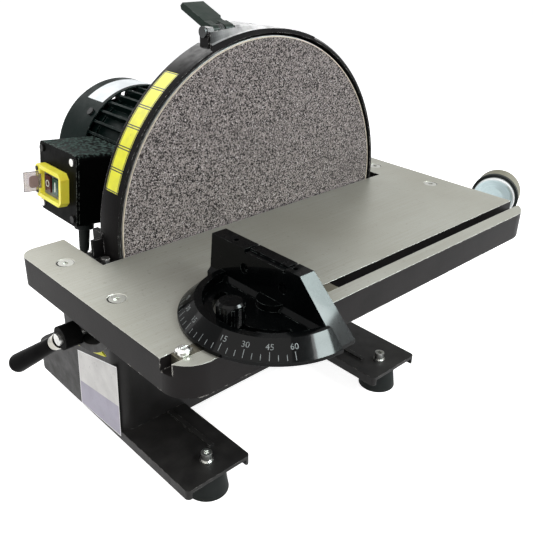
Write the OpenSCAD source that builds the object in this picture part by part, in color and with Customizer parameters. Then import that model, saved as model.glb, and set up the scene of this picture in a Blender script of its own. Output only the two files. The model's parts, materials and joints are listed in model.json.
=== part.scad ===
// Benchtop disc sander: a 12 inch disc straight on the motor shaft, a tilting table with a
// mitre gauge, a quick stop brake on top of the guard and a dust outlet on the right.
//
// Every piece is drawn with x = 0 on the spindle, y = 0 on the abrasive face, +y away from the
// operator, and z = 0 on the table top. seat() then puts that frame on the bench, with the
// origin under the middle of the whole machine.

/* [Disc] */
// Diameter of the disc
disc_d = 304.8; // [280:0.1:330]
// Thickness of the abrasive sheet with its backing
grit_t = 1.2; // [0.8:0.1:2]
// Thickness of the aluminium disc plate
plate_t = 10; // [8:0.5:13]
// Height of the spindle above the table top
spindle_up = 7; // [0:0.5:20]
// Diameter of the motor shaft
shaft_d = 19; // [16:0.5:24]

/* [Guard and dust trough] */
// Radial gap between the disc and the guard
guard_gap = 2.6; // [2:0.1:5]
// Wall of the cast guard
guard_wall = 3.5; // [3:0.1:6]
// How far the guard stands in front of the abrasive face
guard_lip = 1; // [0:0.5:3]
// Gap between the back of the disc and the back plate of the guard
guard_back_gap = 8.3; // [8:0.1:12]
// Back plate of the guard and of the trough
back_t = 4; // [3:0.5:6]
// Half the length of the flat pad on top of the guard
pad_half = 60; // [56:1:70]
// Rise of the pad above the outside of the guard
pad_rise = 4.5; // [3:0.1:8]
// Depth of the dust trough in front of the abrasive face
trough_front = 14; // [12:1:22]
// Depth below the table top at which the lower cover ends
cover_drop = 52; // [50:1:60]
// Thickness of the lower cover sheet
cover_t = 3; // [2:0.5:4]

/* [Table] */
// Length of the table, left to right
table_l = 427; // [410:1:470]
// Table in front of the abrasive face
table_front = 161.5; // [150:0.5:180]
// Table wings behind the abrasive face
table_rear = 62; // [50:1:70]
// Height of the table top above the bench
table_h = 219; // [205:1:240]
// Thickness of the table plate
table_t = 8; // [6:0.5:10]
// Height of the table's painted edge
skirt_h = 25; // [22:0.5:30]
// Wall of the painted edge
skirt_wall = 6; // [4:0.5:8]
// Corner radius at the front
front_r = 22; // [15:1:28]
// Radius of the table's right front corner
right_r = 30; // [15:1:40]
// Corner radius at the back
rear_r = 14; // [8:1:18]
// Gap between the table and the disc
table_gap = 2; // [1.5:0.1:3]
// Inner width of each wing, from the guard outwards
wing_gap = 4.5; // [3.5:0.5:8]
// Width of the mitre slot
slot_w = 10.3; // [9.5:0.1:12]
// Depth of the mitre slot
slot_d = 9.5; // [8:0.5:12]
// Distance from the abrasive face to the middle of the slot
slot_y = 143.2; // [125:0.1:150]
// Greatest tilt of the table
tilt_max = 45; // [30:1:45]

/* [Trunnions] */
// Radius of the trunnion's rim about the tilt axis
trunnion_r = 64; // [60:1:68]
// Radius of the trunnion's slot about the tilt axis
trunnion_slot_r = 52; // [50:0.5:53]
// Thickness of a trunnion
trunnion_t = 14; // [10:1:18]
// Diameter of the lock stud
stud_d = 10; // [8:1:12]

/* [Base] */
// Width of the cast base
base_w = 318; // [290:1:330]
// Depth of the base behind the abrasive face
base_rear = 186; // [170:1:200]
// Front wall of the base behind the abrasive face
base_front = 14; // [12:1:16]
// Height of the base's rear box
base_box_h = 113; // [95:1:116]
// Wall of the base casting
base_wall = 6; // [5:0.5:8]
// How far the front legs reach in front of the abrasive face
leg_front = 86; // [75:1:95]
// Width of a front leg
leg_w = 71; // [55:1:75]
// Thickness of a front leg
leg_t = 10; // [8:0.5:13]
// Thickness of the top of each leg, between its two edges
leg_plate = 3.5; // [2.5:0.5:6]
// Distance from the spindle to each foot, sideways
foot_x = 122; // [110:1:130]
// Front feet in front of the abrasive face
foot_front = 65; // [55:1:70]
// Rear feet behind the abrasive face
foot_rear = 162; // [145:1:168]
// Height of the rubber feet
foot_h = 21; // [16:1:26]
// Diameter of the rubber feet at the bench
foot_d = 40; // [30:1:44]

/* [Motor] */
// Diameter over the cooling fins
motor_d = 150; // [140:1:158]
// Depth of a cooling fin
fin_h = 9; // [6:0.5:11]
// Thickness of a cooling fin
fin_t = 2.4; // [2:0.1:3.5]
// Number of cooling fins in a full circle
fin_count = 36; // [28:2:40]
// Length of the finned frame
frame_len = 157; // [150:1:175]
// Length of the front end bell
bell_len = 24.5; // [22:0.5:30]
// Diameter of the fan cover
cover_d = 154; // [152:1:164]
// Length of the fan cover
fan_cover_len = 56; // [50:1:62]
// Sheet of the fan cover
fan_cover_t = 1.5; // [1:0.1:2.5]

/* [Switch box] */
// Width of the switch box along the motor
box_w = 72.5; // [68:0.5:80]
// Height of the switch box
box_h = 70; // [66:1:78]
// Distance from the spindle to the lid of the box
box_out = 126.5; // [122:0.5:132]
// Lean of the box round the motor
box_lean = 5.7; // [0:0.1:10]
// Front of the box behind the abrasive face
box_front = 120.5; // [116:0.5:122]
// Top of the box above the spindle, before it leans
box_top = 28.8; // [25:0.1:32]
// Wall of the box
box_wall = 2.5; // [2:0.1:3.5]
// Length of the yellow bezel
bezel_w = 51; // [48:1:56]
// Height of the yellow bezel
bezel_h = 33; // [31:1:38]
// Depth of the yellow bezel
bezel_t = 9; // [7:0.5:12]

/* [Brake] */
// Length of the brake lever behind its pivot
lever_l = 39; // [34:1:60]
// Rise of the brake lever
lever_rise = 16; // [10:1:24]
// Diameter of the brake pin
pin_d = 6; // [5:0.5:7]

/* [Mitre gauge] */
// Radius of the graduated head
head_r = 66.5; // [64:0.1:72]
// Height of the fence
fence_h = 38.5; // [32:0.5:50]
// Thickness of the fence
fence_t = 14; // [10:0.5:18]
// Length of the bar
bar_l = 148; // [140:1:170]
// Left end of the bar from the spindle
bar_left = 205; // [195:1:210]
// Diameter of the lock knob
knob_d = 18.8; // [16:0.2:22]

/* [Dust outlet] */
// Outside diameter of the rubber ring round the cap
ring_d = 55; // [54:0.5:60]
// Outside diameter of the hose collar
collar_d = 50.8; // [48:0.1:52]
// Wall of the duct
duct_wall = 2.5; // [2:0.1:3]
// Distance from the spindle to the middle of the capped end
outlet_x = 320; // [305:1:340]
// Distance of the ring's middle in front of the abrasive face
outlet_y = 63; // [58:1:66]
// Depth of the ring's middle below the table top
outlet_z = 44; // [40:1:48]
// Turn of the outlet from straight sideways towards the back
outlet_turn = 20; // [10:1:30]
// Length of the hose collar
collar_l = 34; // [28:1:45]

/* [Mains cord] */
// Diameter of the cord
cord_d = 7.2; // [6:0.1:9]

/* [Hidden] */

$fn = 72;
run_gap = 0.3;    // between pieces that move past each other
pin_gap = 0.05;   // radial gap of a shaft in its hole
seat_gap = 0.05;  // radial gap of a piece pressed into its seat

// Radii and depths that follow from the driving sizes
disc_r = disc_d / 2;
guard_in = disc_r + guard_gap;
guard_out = guard_in + guard_wall;
trough_in = guard_in + 5;
trough_out = trough_in + 4;
disc_back = grit_t + plate_t;
back_y = disc_back + guard_back_gap;
motor_y = back_y + back_t;
pad_up = guard_out + pad_rise;
arm_low = disc_r - 32.4;   // lower end of the brake arm, above the spindle
flange_t = 6;
split_z = -10;
flange_x = max(guard_out + 10, trough_out + 4.5);
floor_z = -table_h;
base_z = floor_z + foot_h;
bolt_r = 3;
notch_x = flange_x + wing_gap - 0.5;
wing_x = (notch_x + table_l / 2) / 2;
trunnion_x = wing_x - trunnion_t / 2;
stud_z = -trunnion_slot_r;
shaft_r = shaft_d / 2;
stud_r = stud_d / 2;
motor_r = motor_d / 2;
core_r = motor_r - fin_h;
bore_r = core_r - 6;
frame_y = motor_y + bell_len;
frame_end = frame_y + frame_len;
cover_y = frame_end - 5;
motor_end = cover_y + fan_cover_len;
bear_r = 23.5;
bear_w = 14;

// Brake pivot, behind the middle of the guard's pad
pin_y = 8;
pin_z = spindle_up + pad_up - 3.5;
lever_x0 = 6 + run_gap - pad_half;
lever_x1 = lever_x0 + 21.7;
pin_r = pin_d / 2;

// Mitre gauge
bar_x0 = -bar_left;
bar_w = slot_w - 0.8;
pivot_x = bar_x0 + 84;
knob_reach = 38.5;

// Dust outlet: a duct to the right with a branch up to the capped end
duct_y = -4;
duct_z = -118;
duct_r = collar_d / 2 + 1;
wall_x = base_w / 2;
duct_x0 = wall_x + 12;
ring_r = ring_d / 2;
drum_l = 26;
drum_x = outlet_x + 13 * cos(outlet_turn);
drum_y = 13 * sin(outlet_turn) - outlet_y;
neck_lean = atan2(duct_y - drum_y, -outlet_z - duct_z);
neck_len = norm([duct_y - drum_y, -outlet_z - duct_z]);
duct_end = drum_x + duct_r + collar_l;

// Lock levers
hub_r = 10;
hub_l = 14.5;
hub_x = trunnion_x + trunnion_t + run_gap;
lever_lean = 12.5;
lever_drop = 38.5;
grip_l = 85;
grip_r = 8.5;

// Ends of the whole machine, without the cord
left_end = -(hub_x + hub_l / 2 + grip_l * sin(lever_lean) + grip_r);
front_end = -(slot_y + head_r);
shift = [-(left_end + duct_end) / 2, -(front_end + motor_end) / 2, table_h];

// Route of the cord: down behind the box, over the base, then round its coil on the bench
cord_r = cord_d / 2;
lie_z = floor_z + 0.4 * cord_d;
gland_x = -box_out + 15;
gland_y = box_front + 13;
gland_z = box_top - box_h;
coil_at = [60, 262];
coil_r = 57;
loop_in = cord_d + 0.8;
layer_up = cord_d + 0.7;
run_y = coil_at[1] - coil_r;
tail_y = run_y + 4;
plug_r = 18;
plug_x = 104;

function lean_pt(p) = [
    p[0] * cos(box_lean) + p[2] * sin(box_lean),
    p[1],
    spindle_up - p[0] * sin(box_lean) + p[2] * cos(box_lean)
];
cord_start = lean_pt([gland_x, gland_y, gland_z - 30]);
cord_next = lean_pt([gland_x, gland_y, gland_z - 30 - cord_d]);
RUN = [
    cord_start, cord_next, [-118, 140, -85], [-119, 154, -112], [-118, 174, -136],
    [-116, 191, -156], [-111, 199, -180], [-100, 204, -202], [-82, 205, -213],
    [-62, run_y, lie_z], [10, run_y, lie_z], [44, run_y, lie_z], [52, run_y, lie_z]
];

// Sweeping a round tube along points
function unit(v) = v / norm(v);
function spline(p, i, t) = let (
    a = p[max(i - 1, 0)], b = p[i], c = p[i + 1], d = p[min(i + 2, len(p) - 1)]
) 0.5 * (2 * b + (c - a) * t + (2 * a - 5 * b + 4 * c - d) * t * t
    + (3 * b - a - 3 * c + d) * t * t * t);
function heading(p, i) = unit(p[min(i + 1, len(p) - 1)] - p[max(i - 1, 0)]);
function turned(n, t) = unit(n - t * (n * t));
function normals(p, n0, i = 0, out = []) = i >= len(p) ? out
    : normals(p, n0, i + 1, concat(out, [turned(i == 0 ? n0 : out[i - 1], heading(p, i))]));

module tube(p, r, sides, n0) {
    n = normals(p, n0);
    pts = [
        for (i = [0 : len(p) - 1], k = [0 : sides - 1])
        p[i] + r * cos(k * 360 / sides) * n[i]
            + r * sin(k * 360 / sides) * cross(heading(p, i), n[i])
    ];
    faces = concat(
        [[for (k = [sides - 1 : -1 : 0]) k]],
        [for (i = [0 : len(p) - 2], k = [0 : sides - 1]) let (a = i * sides + k,
            b = i * sides + (k + 1) % sides) [a, b, b + sides]],
        [for (i = [0 : len(p) - 2], k = [0 : sides - 1]) let (a = i * sides + k,
            b = i * sides + (k + 1) % sides) [a, b + sides, a + sides]],
        [[for (k = [0 : sides - 1]) (len(p) - 1) * sides + k]]
    );
    polyhedron(pts, [for (f = faces) [for (k = [len(f) - 1 : -1 : 0]) f[k]]]);
}

run_pts = concat(
    [RUN[0]],
    [for (i = [1 : len(RUN) - 3], k = [0 : 1]) spline(RUN, i, k / 2)],
    [RUN[len(RUN) - 2], RUN[len(RUN) - 1]]
);

// The coil winds inwards on the bench, climbs, and winds outwards on top
function ease(t) = t <= 0 ? 0 : t >= 1 ? 1 : t * t * (3 - 2 * t);
function coil_rad(t) = t < 3.5 ? coil_r - loop_in * t
    : t < 4.5 ? coil_r - loop_in * 3.5 + 12 * (t - 3.5)
    : coil_r - loop_in * 3.5 + 12 + loop_in * (t - 4.5);
function coil_pt(t) = [
    coil_at[0] + coil_rad(t) * cos(360 * t - 90),
    coil_at[1] + coil_rad(t) * sin(360 * t - 90),
    lie_z + layer_up * ease((t - 3) * 2)
];
coil_pts = concat(
    [[52, run_y, lie_z], [60, run_y, lie_z]],
    [for (i = [1 : 143]) coil_pt(i / 24)],
    [[60, tail_y, lie_z + layer_up], [72, tail_y, lie_z + layer_up + 1],
     [84, tail_y, floor_z + plug_r - 1.2], [94, tail_y, floor_z + plug_r],
     [plug_x, tail_y, floor_z + plug_r]]
);

module seat() translate(shift) children();
module along_x(x, y, z, r, l) translate([x, y, z]) rotate([0, 90, 0]) cylinder(r = r, h = l);
module along_y(x, y, z, r, l) translate([x, y, z]) rotate([-90, 0, 0]) cylinder(r = r, h = l);
module at_spindle(y) translate([0, y, spindle_up]) rotate([-90, 0, 0]) children();
module disc_at(y, r, l) at_spindle(y) cylinder(r = r, h = l);
module ring_at(y, r_out, r_in, l) difference() {
    disc_at(y, r_out, l);
    disc_at(y - 1, r_in, l + 2);
}
module side_plate(x, t) translate([x, 0, 0]) rotate([90, 0, 90]) linear_extrude(t) children();
module on_box() translate([0, 0, spindle_up]) rotate([0, box_lean, 0]) children();
module both() {
    children();
    mirror([1, 0, 0]) children();
}

// Profile of the base casting from the side, with its hollow back slope
function roof(y) = base_z + 32 + 104 * pow(max(0, (base_rear - y) / (base_rear - 14)), 1.7);
module base_side(inset, drop) polygon(concat(
    [[base_front + inset, base_z - inset * 2]],
    [for (i = [0 : 10]) let (y = base_front + inset + (base_rear - base_front - 2 * inset) * i / 10)
        [y, roof(y) - drop]],
    [[base_rear - inset, base_z - inset * 2]]
));
module base_plan(inset) translate([0, 0, base_z - 20]) linear_extrude(200) {
    r = 14;
    w = base_w / 2 - inset;
    f = base_front + inset;
    b = base_rear - inset;
    translate([-w + r, f]) square([2 * w - 2 * r, b - f]);
    translate([-w, f + r]) square([2 * w, b - f - 2 * r]);
    for (x = [-w + r, w - r], y = [f + r, b - r]) translate([x, y]) circle(r);
}
module base_box(inset, drop) intersection() {
    base_plan(inset);
    side_plate(-base_w / 2, base_w) base_side(inset, drop);
}
module leg() {
    x0 = base_w / 2 - leg_w;
    r = 4;
    difference() {
        translate([0, 0, base_z]) linear_extrude(leg_t) {
            translate([x0, r - leg_front]) square([leg_w, leg_front + base_front + 16]);
            translate([x0 + r, -leg_front]) square([leg_w - 2 * r, 30]);
            for (x = [x0 + r, x0 + leg_w - r]) translate([x, r - leg_front]) circle(r);
        }
        translate([foot_x, -foot_front, base_z - 1]) cylinder(r = bolt_r + 0.3, h = leg_t + 10);
        // Open underside between the two edges
        translate([x0 + 5, -leg_front - 1, base_z - 1])
            cube([leg_w - 10, leg_front - 11, leg_t - leg_plate + 1]);
    }
    translate([x0 + 17, -leg_front + 32, base_z + leg_t - 1]) cube([5, leg_front - 20, 3]);
}
module trough_ring() {
    difference() {
        disc_at(-trough_front, trough_out, back_y + back_t + trough_front);
        disc_at(-trough_front - 1, trough_in, back_y + trough_front + 1);
    }
}
module base() color("dimgray") difference() {
    union() {
        difference() {
            union() {
                base_box(0, 0);
                both() leg();
            }
            base_box(base_wall, base_wall + 2);
        }
        both() translate([foot_x - 19, foot_rear - 20, base_z])
            cube([base_w / 2 - foot_x + 16, 36, leg_t]);
        trough_ring();
        both() {
            translate([flange_x - 14, 3, split_z - flange_t]) cube([14, 31, flange_t]);
            translate([flange_x - 14, back_y, split_z - 24]) cube([8, 14.5, 24]);
            along_x(150, 0, stud_z, hub_r, trunnion_x - run_gap - 150);
            translate([0, 4, 0]) rotate([90, 0, 0]) linear_extrude(8)
                polygon([[147, stud_z], [trunnion_x - 4, stud_z], [trunnion_x - 4, stud_z - 8],
                    [142, stud_z - 34]]);
        }
        translate([3 - trunnion_x, 17, -84]) cube([trunnion_x - 147, 14, 8]);
        for (a = [-25, -75, -115, -155])
            at_spindle(-trough_front) rotate([0, 0, -a]) translate([trough_out, 0, 0])
                cylinder(r = 6, h = 16);
    }
    // Everything that the disc, the upper guard and the tilting table need
    disc_at(-trough_front - 20, trough_in, back_y + trough_front + 20);
    translate([-200, -80, split_z]) cube([400, 200, 200]);
    translate([0, 0, 0]) side_plate(-200, 400)
        polygon([[-90, 40], [-90, -106], [0, -16], [0, 40]]);
    disc_at(back_y - 1, 25, back_t + 2);
    for (a = [-45, -135]) at_spindle(back_y - 1) rotate([0, 0, -a]) translate([58, 0, 0])
        cylinder(r = 4.2, h = back_t + 2);
    for (a = [-25, -75, -115, -155])
        at_spindle(-trough_front - 1) rotate([0, 0, -a]) translate([trough_out + 1.5, 0, 0])
            cylinder(r = 2, h = 14);
    both() {
        translate([flange_x - 5, 10, split_z - 20]) cylinder(r = 2.1, h = 30);
        translate([flange_x - 5, 27, split_z - 20]) cylinder(r = 2.1, h = 30);
        along_x(156, 0, stud_z, stud_r + seat_gap, 60);
        translate([foot_x, foot_rear, base_z - 1]) cylinder(r = bolt_r + 0.3, h = leg_t + 2);
    }
    for (z = [-151, -85]) along_y(147, 0, z, 1.95, 40);
    translate([12 - trunnion_x, 24, -90]) cylinder(r = 2, h = 19);
    // Opening from the trough into the chute
    translate([96, -10, -141]) cube([60, 19, 46]);
}

module foot(h) translate([0, 0, floor_z]) difference() {
    cylinder(r1 = foot_d / 2, r2 = foot_d / 2 - 4, h = h);
    translate([0, 0, 7]) cylinder(r = bolt_r + seat_gap, h = h);
    translate([0, 0, -1]) cylinder(r = 8, h = 5);
}
module four_feet() both() {
    translate([foot_x, -foot_front, 0]) children();
    translate([foot_x, foot_rear, 0]) children();
}
module rubber_feet() color("black") both() {
    translate([foot_x, -foot_front, 0]) foot(foot_h + leg_t - leg_plate);
    translate([foot_x, foot_rear, 0]) foot(foot_h);
}
module foot_bolts() color("silver") four_feet() difference() {
    union() {
        translate([0, 0, floor_z + 9]) cylinder(r = bolt_r, h = foot_h + leg_t - 9);
        translate([0, 0, base_z + leg_t]) cylinder(r = 6.2, h = 1.4);
        translate([0, 0, base_z + leg_t + 1.4]) cylinder(r = 5, h = 7.6);
    }
    translate([0, 0, base_z + leg_t + 5]) cylinder(r = 2.9, h = 8, $fn = 6);
}

module lower_cover() color("dimgray") difference() {
    union() {
        disc_at(-trough_front - cover_t, trough_out, cover_t);
        for (a = [-25, -75, -115, -155])
            at_spindle(-trough_front - cover_t) rotate([0, 0, -a])
                translate([trough_out + 1.5, 0, 0]) cylinder(r = 7, h = cover_t);
    }
    translate([-200, -60, -cover_drop]) cube([400, 100, 400]);
    for (a = [-25, -75, -115, -155])
        at_spindle(-trough_front - cover_t - 1) rotate([0, 0, -a])
            translate([trough_out + 1.5, 0, 0]) cylinder(r = 2.2, h = cover_t + 2);
}

// Upper guard with its back plate, the pad on top and the ears of the brake lever
module pad_block() translate([0, 0, spindle_up + arm_low])
    linear_extrude(pad_up - arm_low) polygon([
        [1.5 - pad_half, -guard_lip], [pad_half - 1.5, -guard_lip], [pad_half, 1 - guard_lip],
        [pad_half - 18, motor_y], [18 - pad_half, motor_y], [-pad_half, 1 - guard_lip]
    ]);
module guard() color("dimgray") difference() {
    union() {
        rotate([-90, 0, 0]) translate([0, -spindle_up, -guard_lip]) rotate_extrude()
            polygon([[guard_in - 1, 1.5], [guard_in, 0], [guard_out - 1.5, 0], [guard_out, 1.5],
                [guard_out, motor_y + guard_lip], [0, motor_y + guard_lip],
                [0, back_y + guard_lip], [guard_in - 1, back_y + guard_lip]]);
        pad_block();
        both() {
            translate([flange_x - 14, 3, split_z]) cube([14, 31, flange_t]);
            translate([flange_x - 14, back_y, split_z]) cube([5, 14.5, 26]);
            translate([flange_x - 14, back_y, split_z]) cube([14, 3, 22]);
        }
        for (x = [lever_x0 - run_gap - 6, lever_x1 + run_gap]) {
            along_x(x, pin_y, pin_z, 5.5, 6);
            translate([x, pin_y - 5.5, pin_z - 12]) cube([6, 11, 12]);
        }
    }
    disc_at(-30, guard_in, back_y + 30);
    translate([-300, -60, split_z - 400]) cube([600, 300, 400]);
    // Slot for the brake lever and its arm
    translate([lever_x0 - run_gap, pin_y - 5.5, spindle_up + arm_low + 13])
        cube([lever_x1 - lever_x0 + 2 * run_gap, 40, 60]);
    along_x(lever_x0 - 20, pin_y, pin_z, pin_r + seat_gap, 70);
    // Long oval recess in the pad
    translate([0, 0, spindle_up + pad_up - 2.5]) linear_extrude(10) {
        translate([-4, 5]) square([42, 11]);
        for (x = [-4, 38]) translate([x, 10.5]) circle(5.5);
    }
    disc_at(back_y - 1, 25, back_t + 2);
    for (a = [45, 135]) at_spindle(back_y - 1) rotate([0, 0, -a]) translate([58, 0, 0])
        cylinder(r = 4.2, h = back_t + 2);
    both() {
        translate([flange_x - 5, 10, split_z - 2]) cylinder(r = 2.6, h = 30);
        translate([flange_x - 5, 27, split_z - 2]) cylinder(r = 2.6, h = 30);
    }
}
module housing_screws() color("silver") {
    both() for (y = [10, 27]) translate([flange_x - 5, y, split_z - 12]) {
        cylinder(r = 2.05, h = 12 + flange_t);
        translate([0, 0, 12 + flange_t]) cylinder(r = 3.9, h = 3, $fn = 6);
    }
    translate([12 - trunnion_x, 24, -84]) {
        cylinder(r = 1.95, h = 10);
        translate([0, 0, 9.5]) cylinder(r = 3.6, h = 2.5);
    }
    for (a = [45, 135, -45, -135]) at_spindle(back_y - 3.5) rotate([0, 0, -a])
        translate([58, 0, 0]) {
            cylinder(r = 4.1, h = 16);
            cylinder(r = 6.5, h = 3.5);
        }
    for (a = [-25, -75, -115, -155]) at_spindle(-trough_front - cover_t - 2.5)
        rotate([0, 0, -a]) translate([trough_out + 1.5, 0, 0]) {
            cylinder(r = 1.95, h = 14);
            cylinder(r = 4, h = 2.5);
        }
}

module brake_pin() color("silver") {
    along_x(-pad_half - 0.1, pin_y, pin_z, pin_r, pad_half + lever_x1 + 8);
    along_x(-pad_half - 1.9, pin_y, pin_z, pin_r + 1.5, 1.8);
}
module brake_spring() color("gray") {
    translate([lever_x0 + 6.3, pin_y, pin_z]) rotate([0, 90, 0]) rotate_extrude() polygon(concat(
        [for (i = [0 : 6]) [i % 2 == 0 ? 4.3 : 5.2, i]], [[3.3, 6], [3.3, 0]]));
    translate([lever_x0 + 9.3, pin_y + 4, pin_z - 13]) cylinder(r = 0.9, h = 13);
}
module brake_lever() color("darkslategray") difference() {
    union() {
        for (x = [[lever_x0, lever_x0 + 6], [lever_x1 - 9, lever_x1]]) {
            along_x(x[0], pin_y, pin_z, 5, x[1] - x[0]);
            side_plate(x[0], x[1] - x[0]) polygon([
                [pin_y - 1, pin_z + 4.8], [pin_y + 7, pin_z + 7], [pin_y + 13, pin_z + 5],
                [pin_y + 3, pin_z - 3.5]
            ]);
        }
        side_plate(lever_x0, lever_x1 - lever_x0) polygon([
            [pin_y + 5.8, pin_z + 2], [pin_y + 3.4, pin_z + 5.2], [pin_y + 10, pin_z + 8.2],
            [pin_y + lever_l - 3, pin_z + lever_rise + 2.5], [pin_y + lever_l, pin_z + lever_rise],
            [pin_y + lever_l - 1, pin_z + lever_rise - 3], [pin_y + 12, pin_z + 2.5]
        ]);
        // Arm that reaches down behind the disc
        side_plate(lever_x1 - 9, 8) polygon([
            [pin_y, pin_z - 4.8], [pin_y, pin_z + 4.8], [pin_y + 7, pin_z + 5], [back_y - 0.3, pin_z - 1],
            [back_y - 0.3, spindle_up + arm_low], [back_y - 3.3, spindle_up + arm_low],
            [back_y - 3.3, pin_z - 8]
        ]);
    }
    along_x(lever_x0 - 5, pin_y, pin_z, pin_r + pin_gap, 50);
    // The handle is wider than the neck
    translate([lever_x1 - 2.5, pin_y + 5.4, pin_z + 3]) cube([5, 7.6, 20]);
}
module brake_pad() color("saddlebrown")
    translate([lever_x1 - 11, disc_back + 2.3, spindle_up + arm_low + 1])
        cube([12, back_y - 5.6 - disc_back, 20]);

// Motor, fixed to both halves of the back plate
module motor_front_bell() color("dimgray") difference() {
    union() {
        disc_at(motor_y, 68, 8);
        disc_at(motor_y, core_r - 4, bell_len);
        disc_at(frame_y - 1, bore_r - seat_gap, 6);
        for (a = [15 : 30 : 345]) at_spindle(motor_y + 7) rotate([0, 0, -a])
            translate([core_r - 9, -1.5, 0]) cube([8, 3, bell_len - 8]);
    }
    disc_at(motor_y + 14, bear_r + seat_gap, bell_len);
    disc_at(motor_y + 14 + bear_w, bore_r - 6, bell_len);
    disc_at(motor_y - 1, 21, 30);
    for (a = [45, 135, -45, -135]) at_spindle(motor_y - 1) rotate([0, 0, -a])
        translate([58, 0, 0]) cylinder(r = 4.2, h = 10.5);
}
module motor_frame() color("black") difference() {
    union() {
        disc_at(frame_y, core_r, frame_len);
        at_spindle(frame_y) linear_extrude(frame_len) for (i = [0 : fin_count - 1])
            rotate(i * 360 / fin_count) translate([core_r - 2, -fin_t / 2])
                square([fin_h + 2, fin_t]);
        disc_at(frame_y, core_r + 2.5, 6);
        disc_at(frame_end - 8, core_r + 2.5, 8);
    }
    disc_at(frame_y - 1, bore_r, frame_len + 2);
    // Cable hole into the switch box
    on_box() along_x(-90, box_front + 36, -6, 8, 40);
}
module stator() color("slategray") ring_at(frame_y + 37, bore_r - seat_gap, 38.6, 80);
module windings() color("chocolate") for (y = [frame_y + 19, frame_y + 117.1])
    ring_at(y, 55, 42, 17.9);
module rotor() color("lightgray") difference() {
    union() {
        disc_at(frame_y + 37, 38, 80);
        disc_at(frame_y + 29, 34, 96);
    }
    disc_at(frame_y, shaft_r + seat_gap, 200);
}
module motor_rear_bell() color("dimgray") difference() {
    union() {
        disc_at(frame_end, core_r, 5);
        disc_at(frame_end, bear_r + 8, 16);
        disc_at(frame_end - 5, bore_r - seat_gap, 6);
        for (a = [45, 135, 225, 315]) at_spindle(frame_end) rotate([0, 0, -a])
            translate([core_r - 10, -6, 0])
                cube([cover_d / 2 - fan_cover_t - core_r + 9.7, 12, 10]);
    }
    disc_at(frame_end - 6, bear_r + seat_gap, bear_w + 6);
    disc_at(frame_end - 6, 18, 40);
    ring_at(frame_end - 6, bore_r - 6, bear_r + 8, 5.5);
    for (a = [45, 135, 225, 315]) at_spindle(frame_end + 5) rotate([0, 0, -a])
        rotate([0, 90, 0]) cylinder(r = 2, h = 100);
}
module bearings() color("silver") for (y = [motor_y + 14, frame_end - 6 + 0.01])
    ring_at(y, bear_r, shaft_r + pin_gap, bear_w - 0.02);
module fan_cover() color("black") difference() {
    rotate([-90, 0, 0]) translate([0, -spindle_up, cover_y]) rotate_extrude() polygon([
        [cover_d / 2 - fan_cover_t, 0], [cover_d / 2, 0], [cover_d / 2, fan_cover_len - 7],
        [cover_d / 2 - 2, fan_cover_len - 2.5], [cover_d / 2 - 7, fan_cover_len],
        [0, fan_cover_len], [0, fan_cover_len - fan_cover_t],
        [cover_d / 2 - 7.5, fan_cover_len - fan_cover_t],
        [cover_d / 2 - 3.2, fan_cover_len - 3.5],
        [cover_d / 2 - fan_cover_t, fan_cover_len - 7.5]
    ]);
    for (r = [[20, 12], [36, 20], [52, 28]], i = [0 : r[1] - 1])
        at_spindle(motor_end - 5) rotate([0, 0, i * 360 / r[1]]) translate([r[0], -2.6, 0])
            cube([12, 5.2, 10]);
    for (a = [45, 135, 225, 315]) at_spindle(frame_end + 5) rotate([0, 0, -a])
        rotate([0, 90, 0]) cylinder(r = 2.2, h = 100);
}
module fan() color("white") difference() {
    union() {
        disc_at(frame_end + 20, 16, 20);
        disc_at(frame_end + 20, 62, 2);
        for (i = [0 : 8]) at_spindle(frame_end + 21) rotate([0, 0, i * 40])
            translate([14, -1, 0]) cube([46, 2, 19]);
    }
    disc_at(frame_end, shaft_r - 1.5 + seat_gap, 60);
}
module motor_shaft() color("silver") {
    disc_at(disc_back + 2, shaft_r, frame_end + 10 - disc_back - 2);
    disc_at(frame_end + 10, shaft_r - 1.5, 31);
}
module small_screws() color("silver") {
    for (a = [45, 135, 225, 315]) at_spindle(frame_end + 5) rotate([0, 0, -a])
        rotate([0, 90, 0]) {
            translate([0, 0, cover_d / 2 - 12]) cylinder(r = 1.95, h = 12);
            translate([0, 0, cover_d / 2]) cylinder(r = 4, h = 2.2);
        }
    // Four screws in the lid of the switch box
    for (p = lid_screws) on_box() {
        along_x(-box_out - 1.6, p[0], p[1], 3.6, 1.6);
        along_x(-box_out - 0.1, p[0], p[1], 1.75, 12);
    }
    // Two screws through the bezel
    for (z = [-1, 1]) on_box() {
        along_x(-box_out - bezel_t - 1, bezel_y + bezel_w - 4, bezel_z + z * 12, 2.2, 1);
        along_x(-box_out - bezel_t - 0.1, bezel_y + bezel_w - 4, bezel_z + z * 12, 1.2, 9);
    }
    // Two screws through the tabs of the chute into the front wall of the base
    for (z = [-151, -85]) {
        along_y(147, 8.4, z, 3.5, 2.1);
        along_y(147, 10.4, z, 1.9, 9);
    }
}

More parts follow.
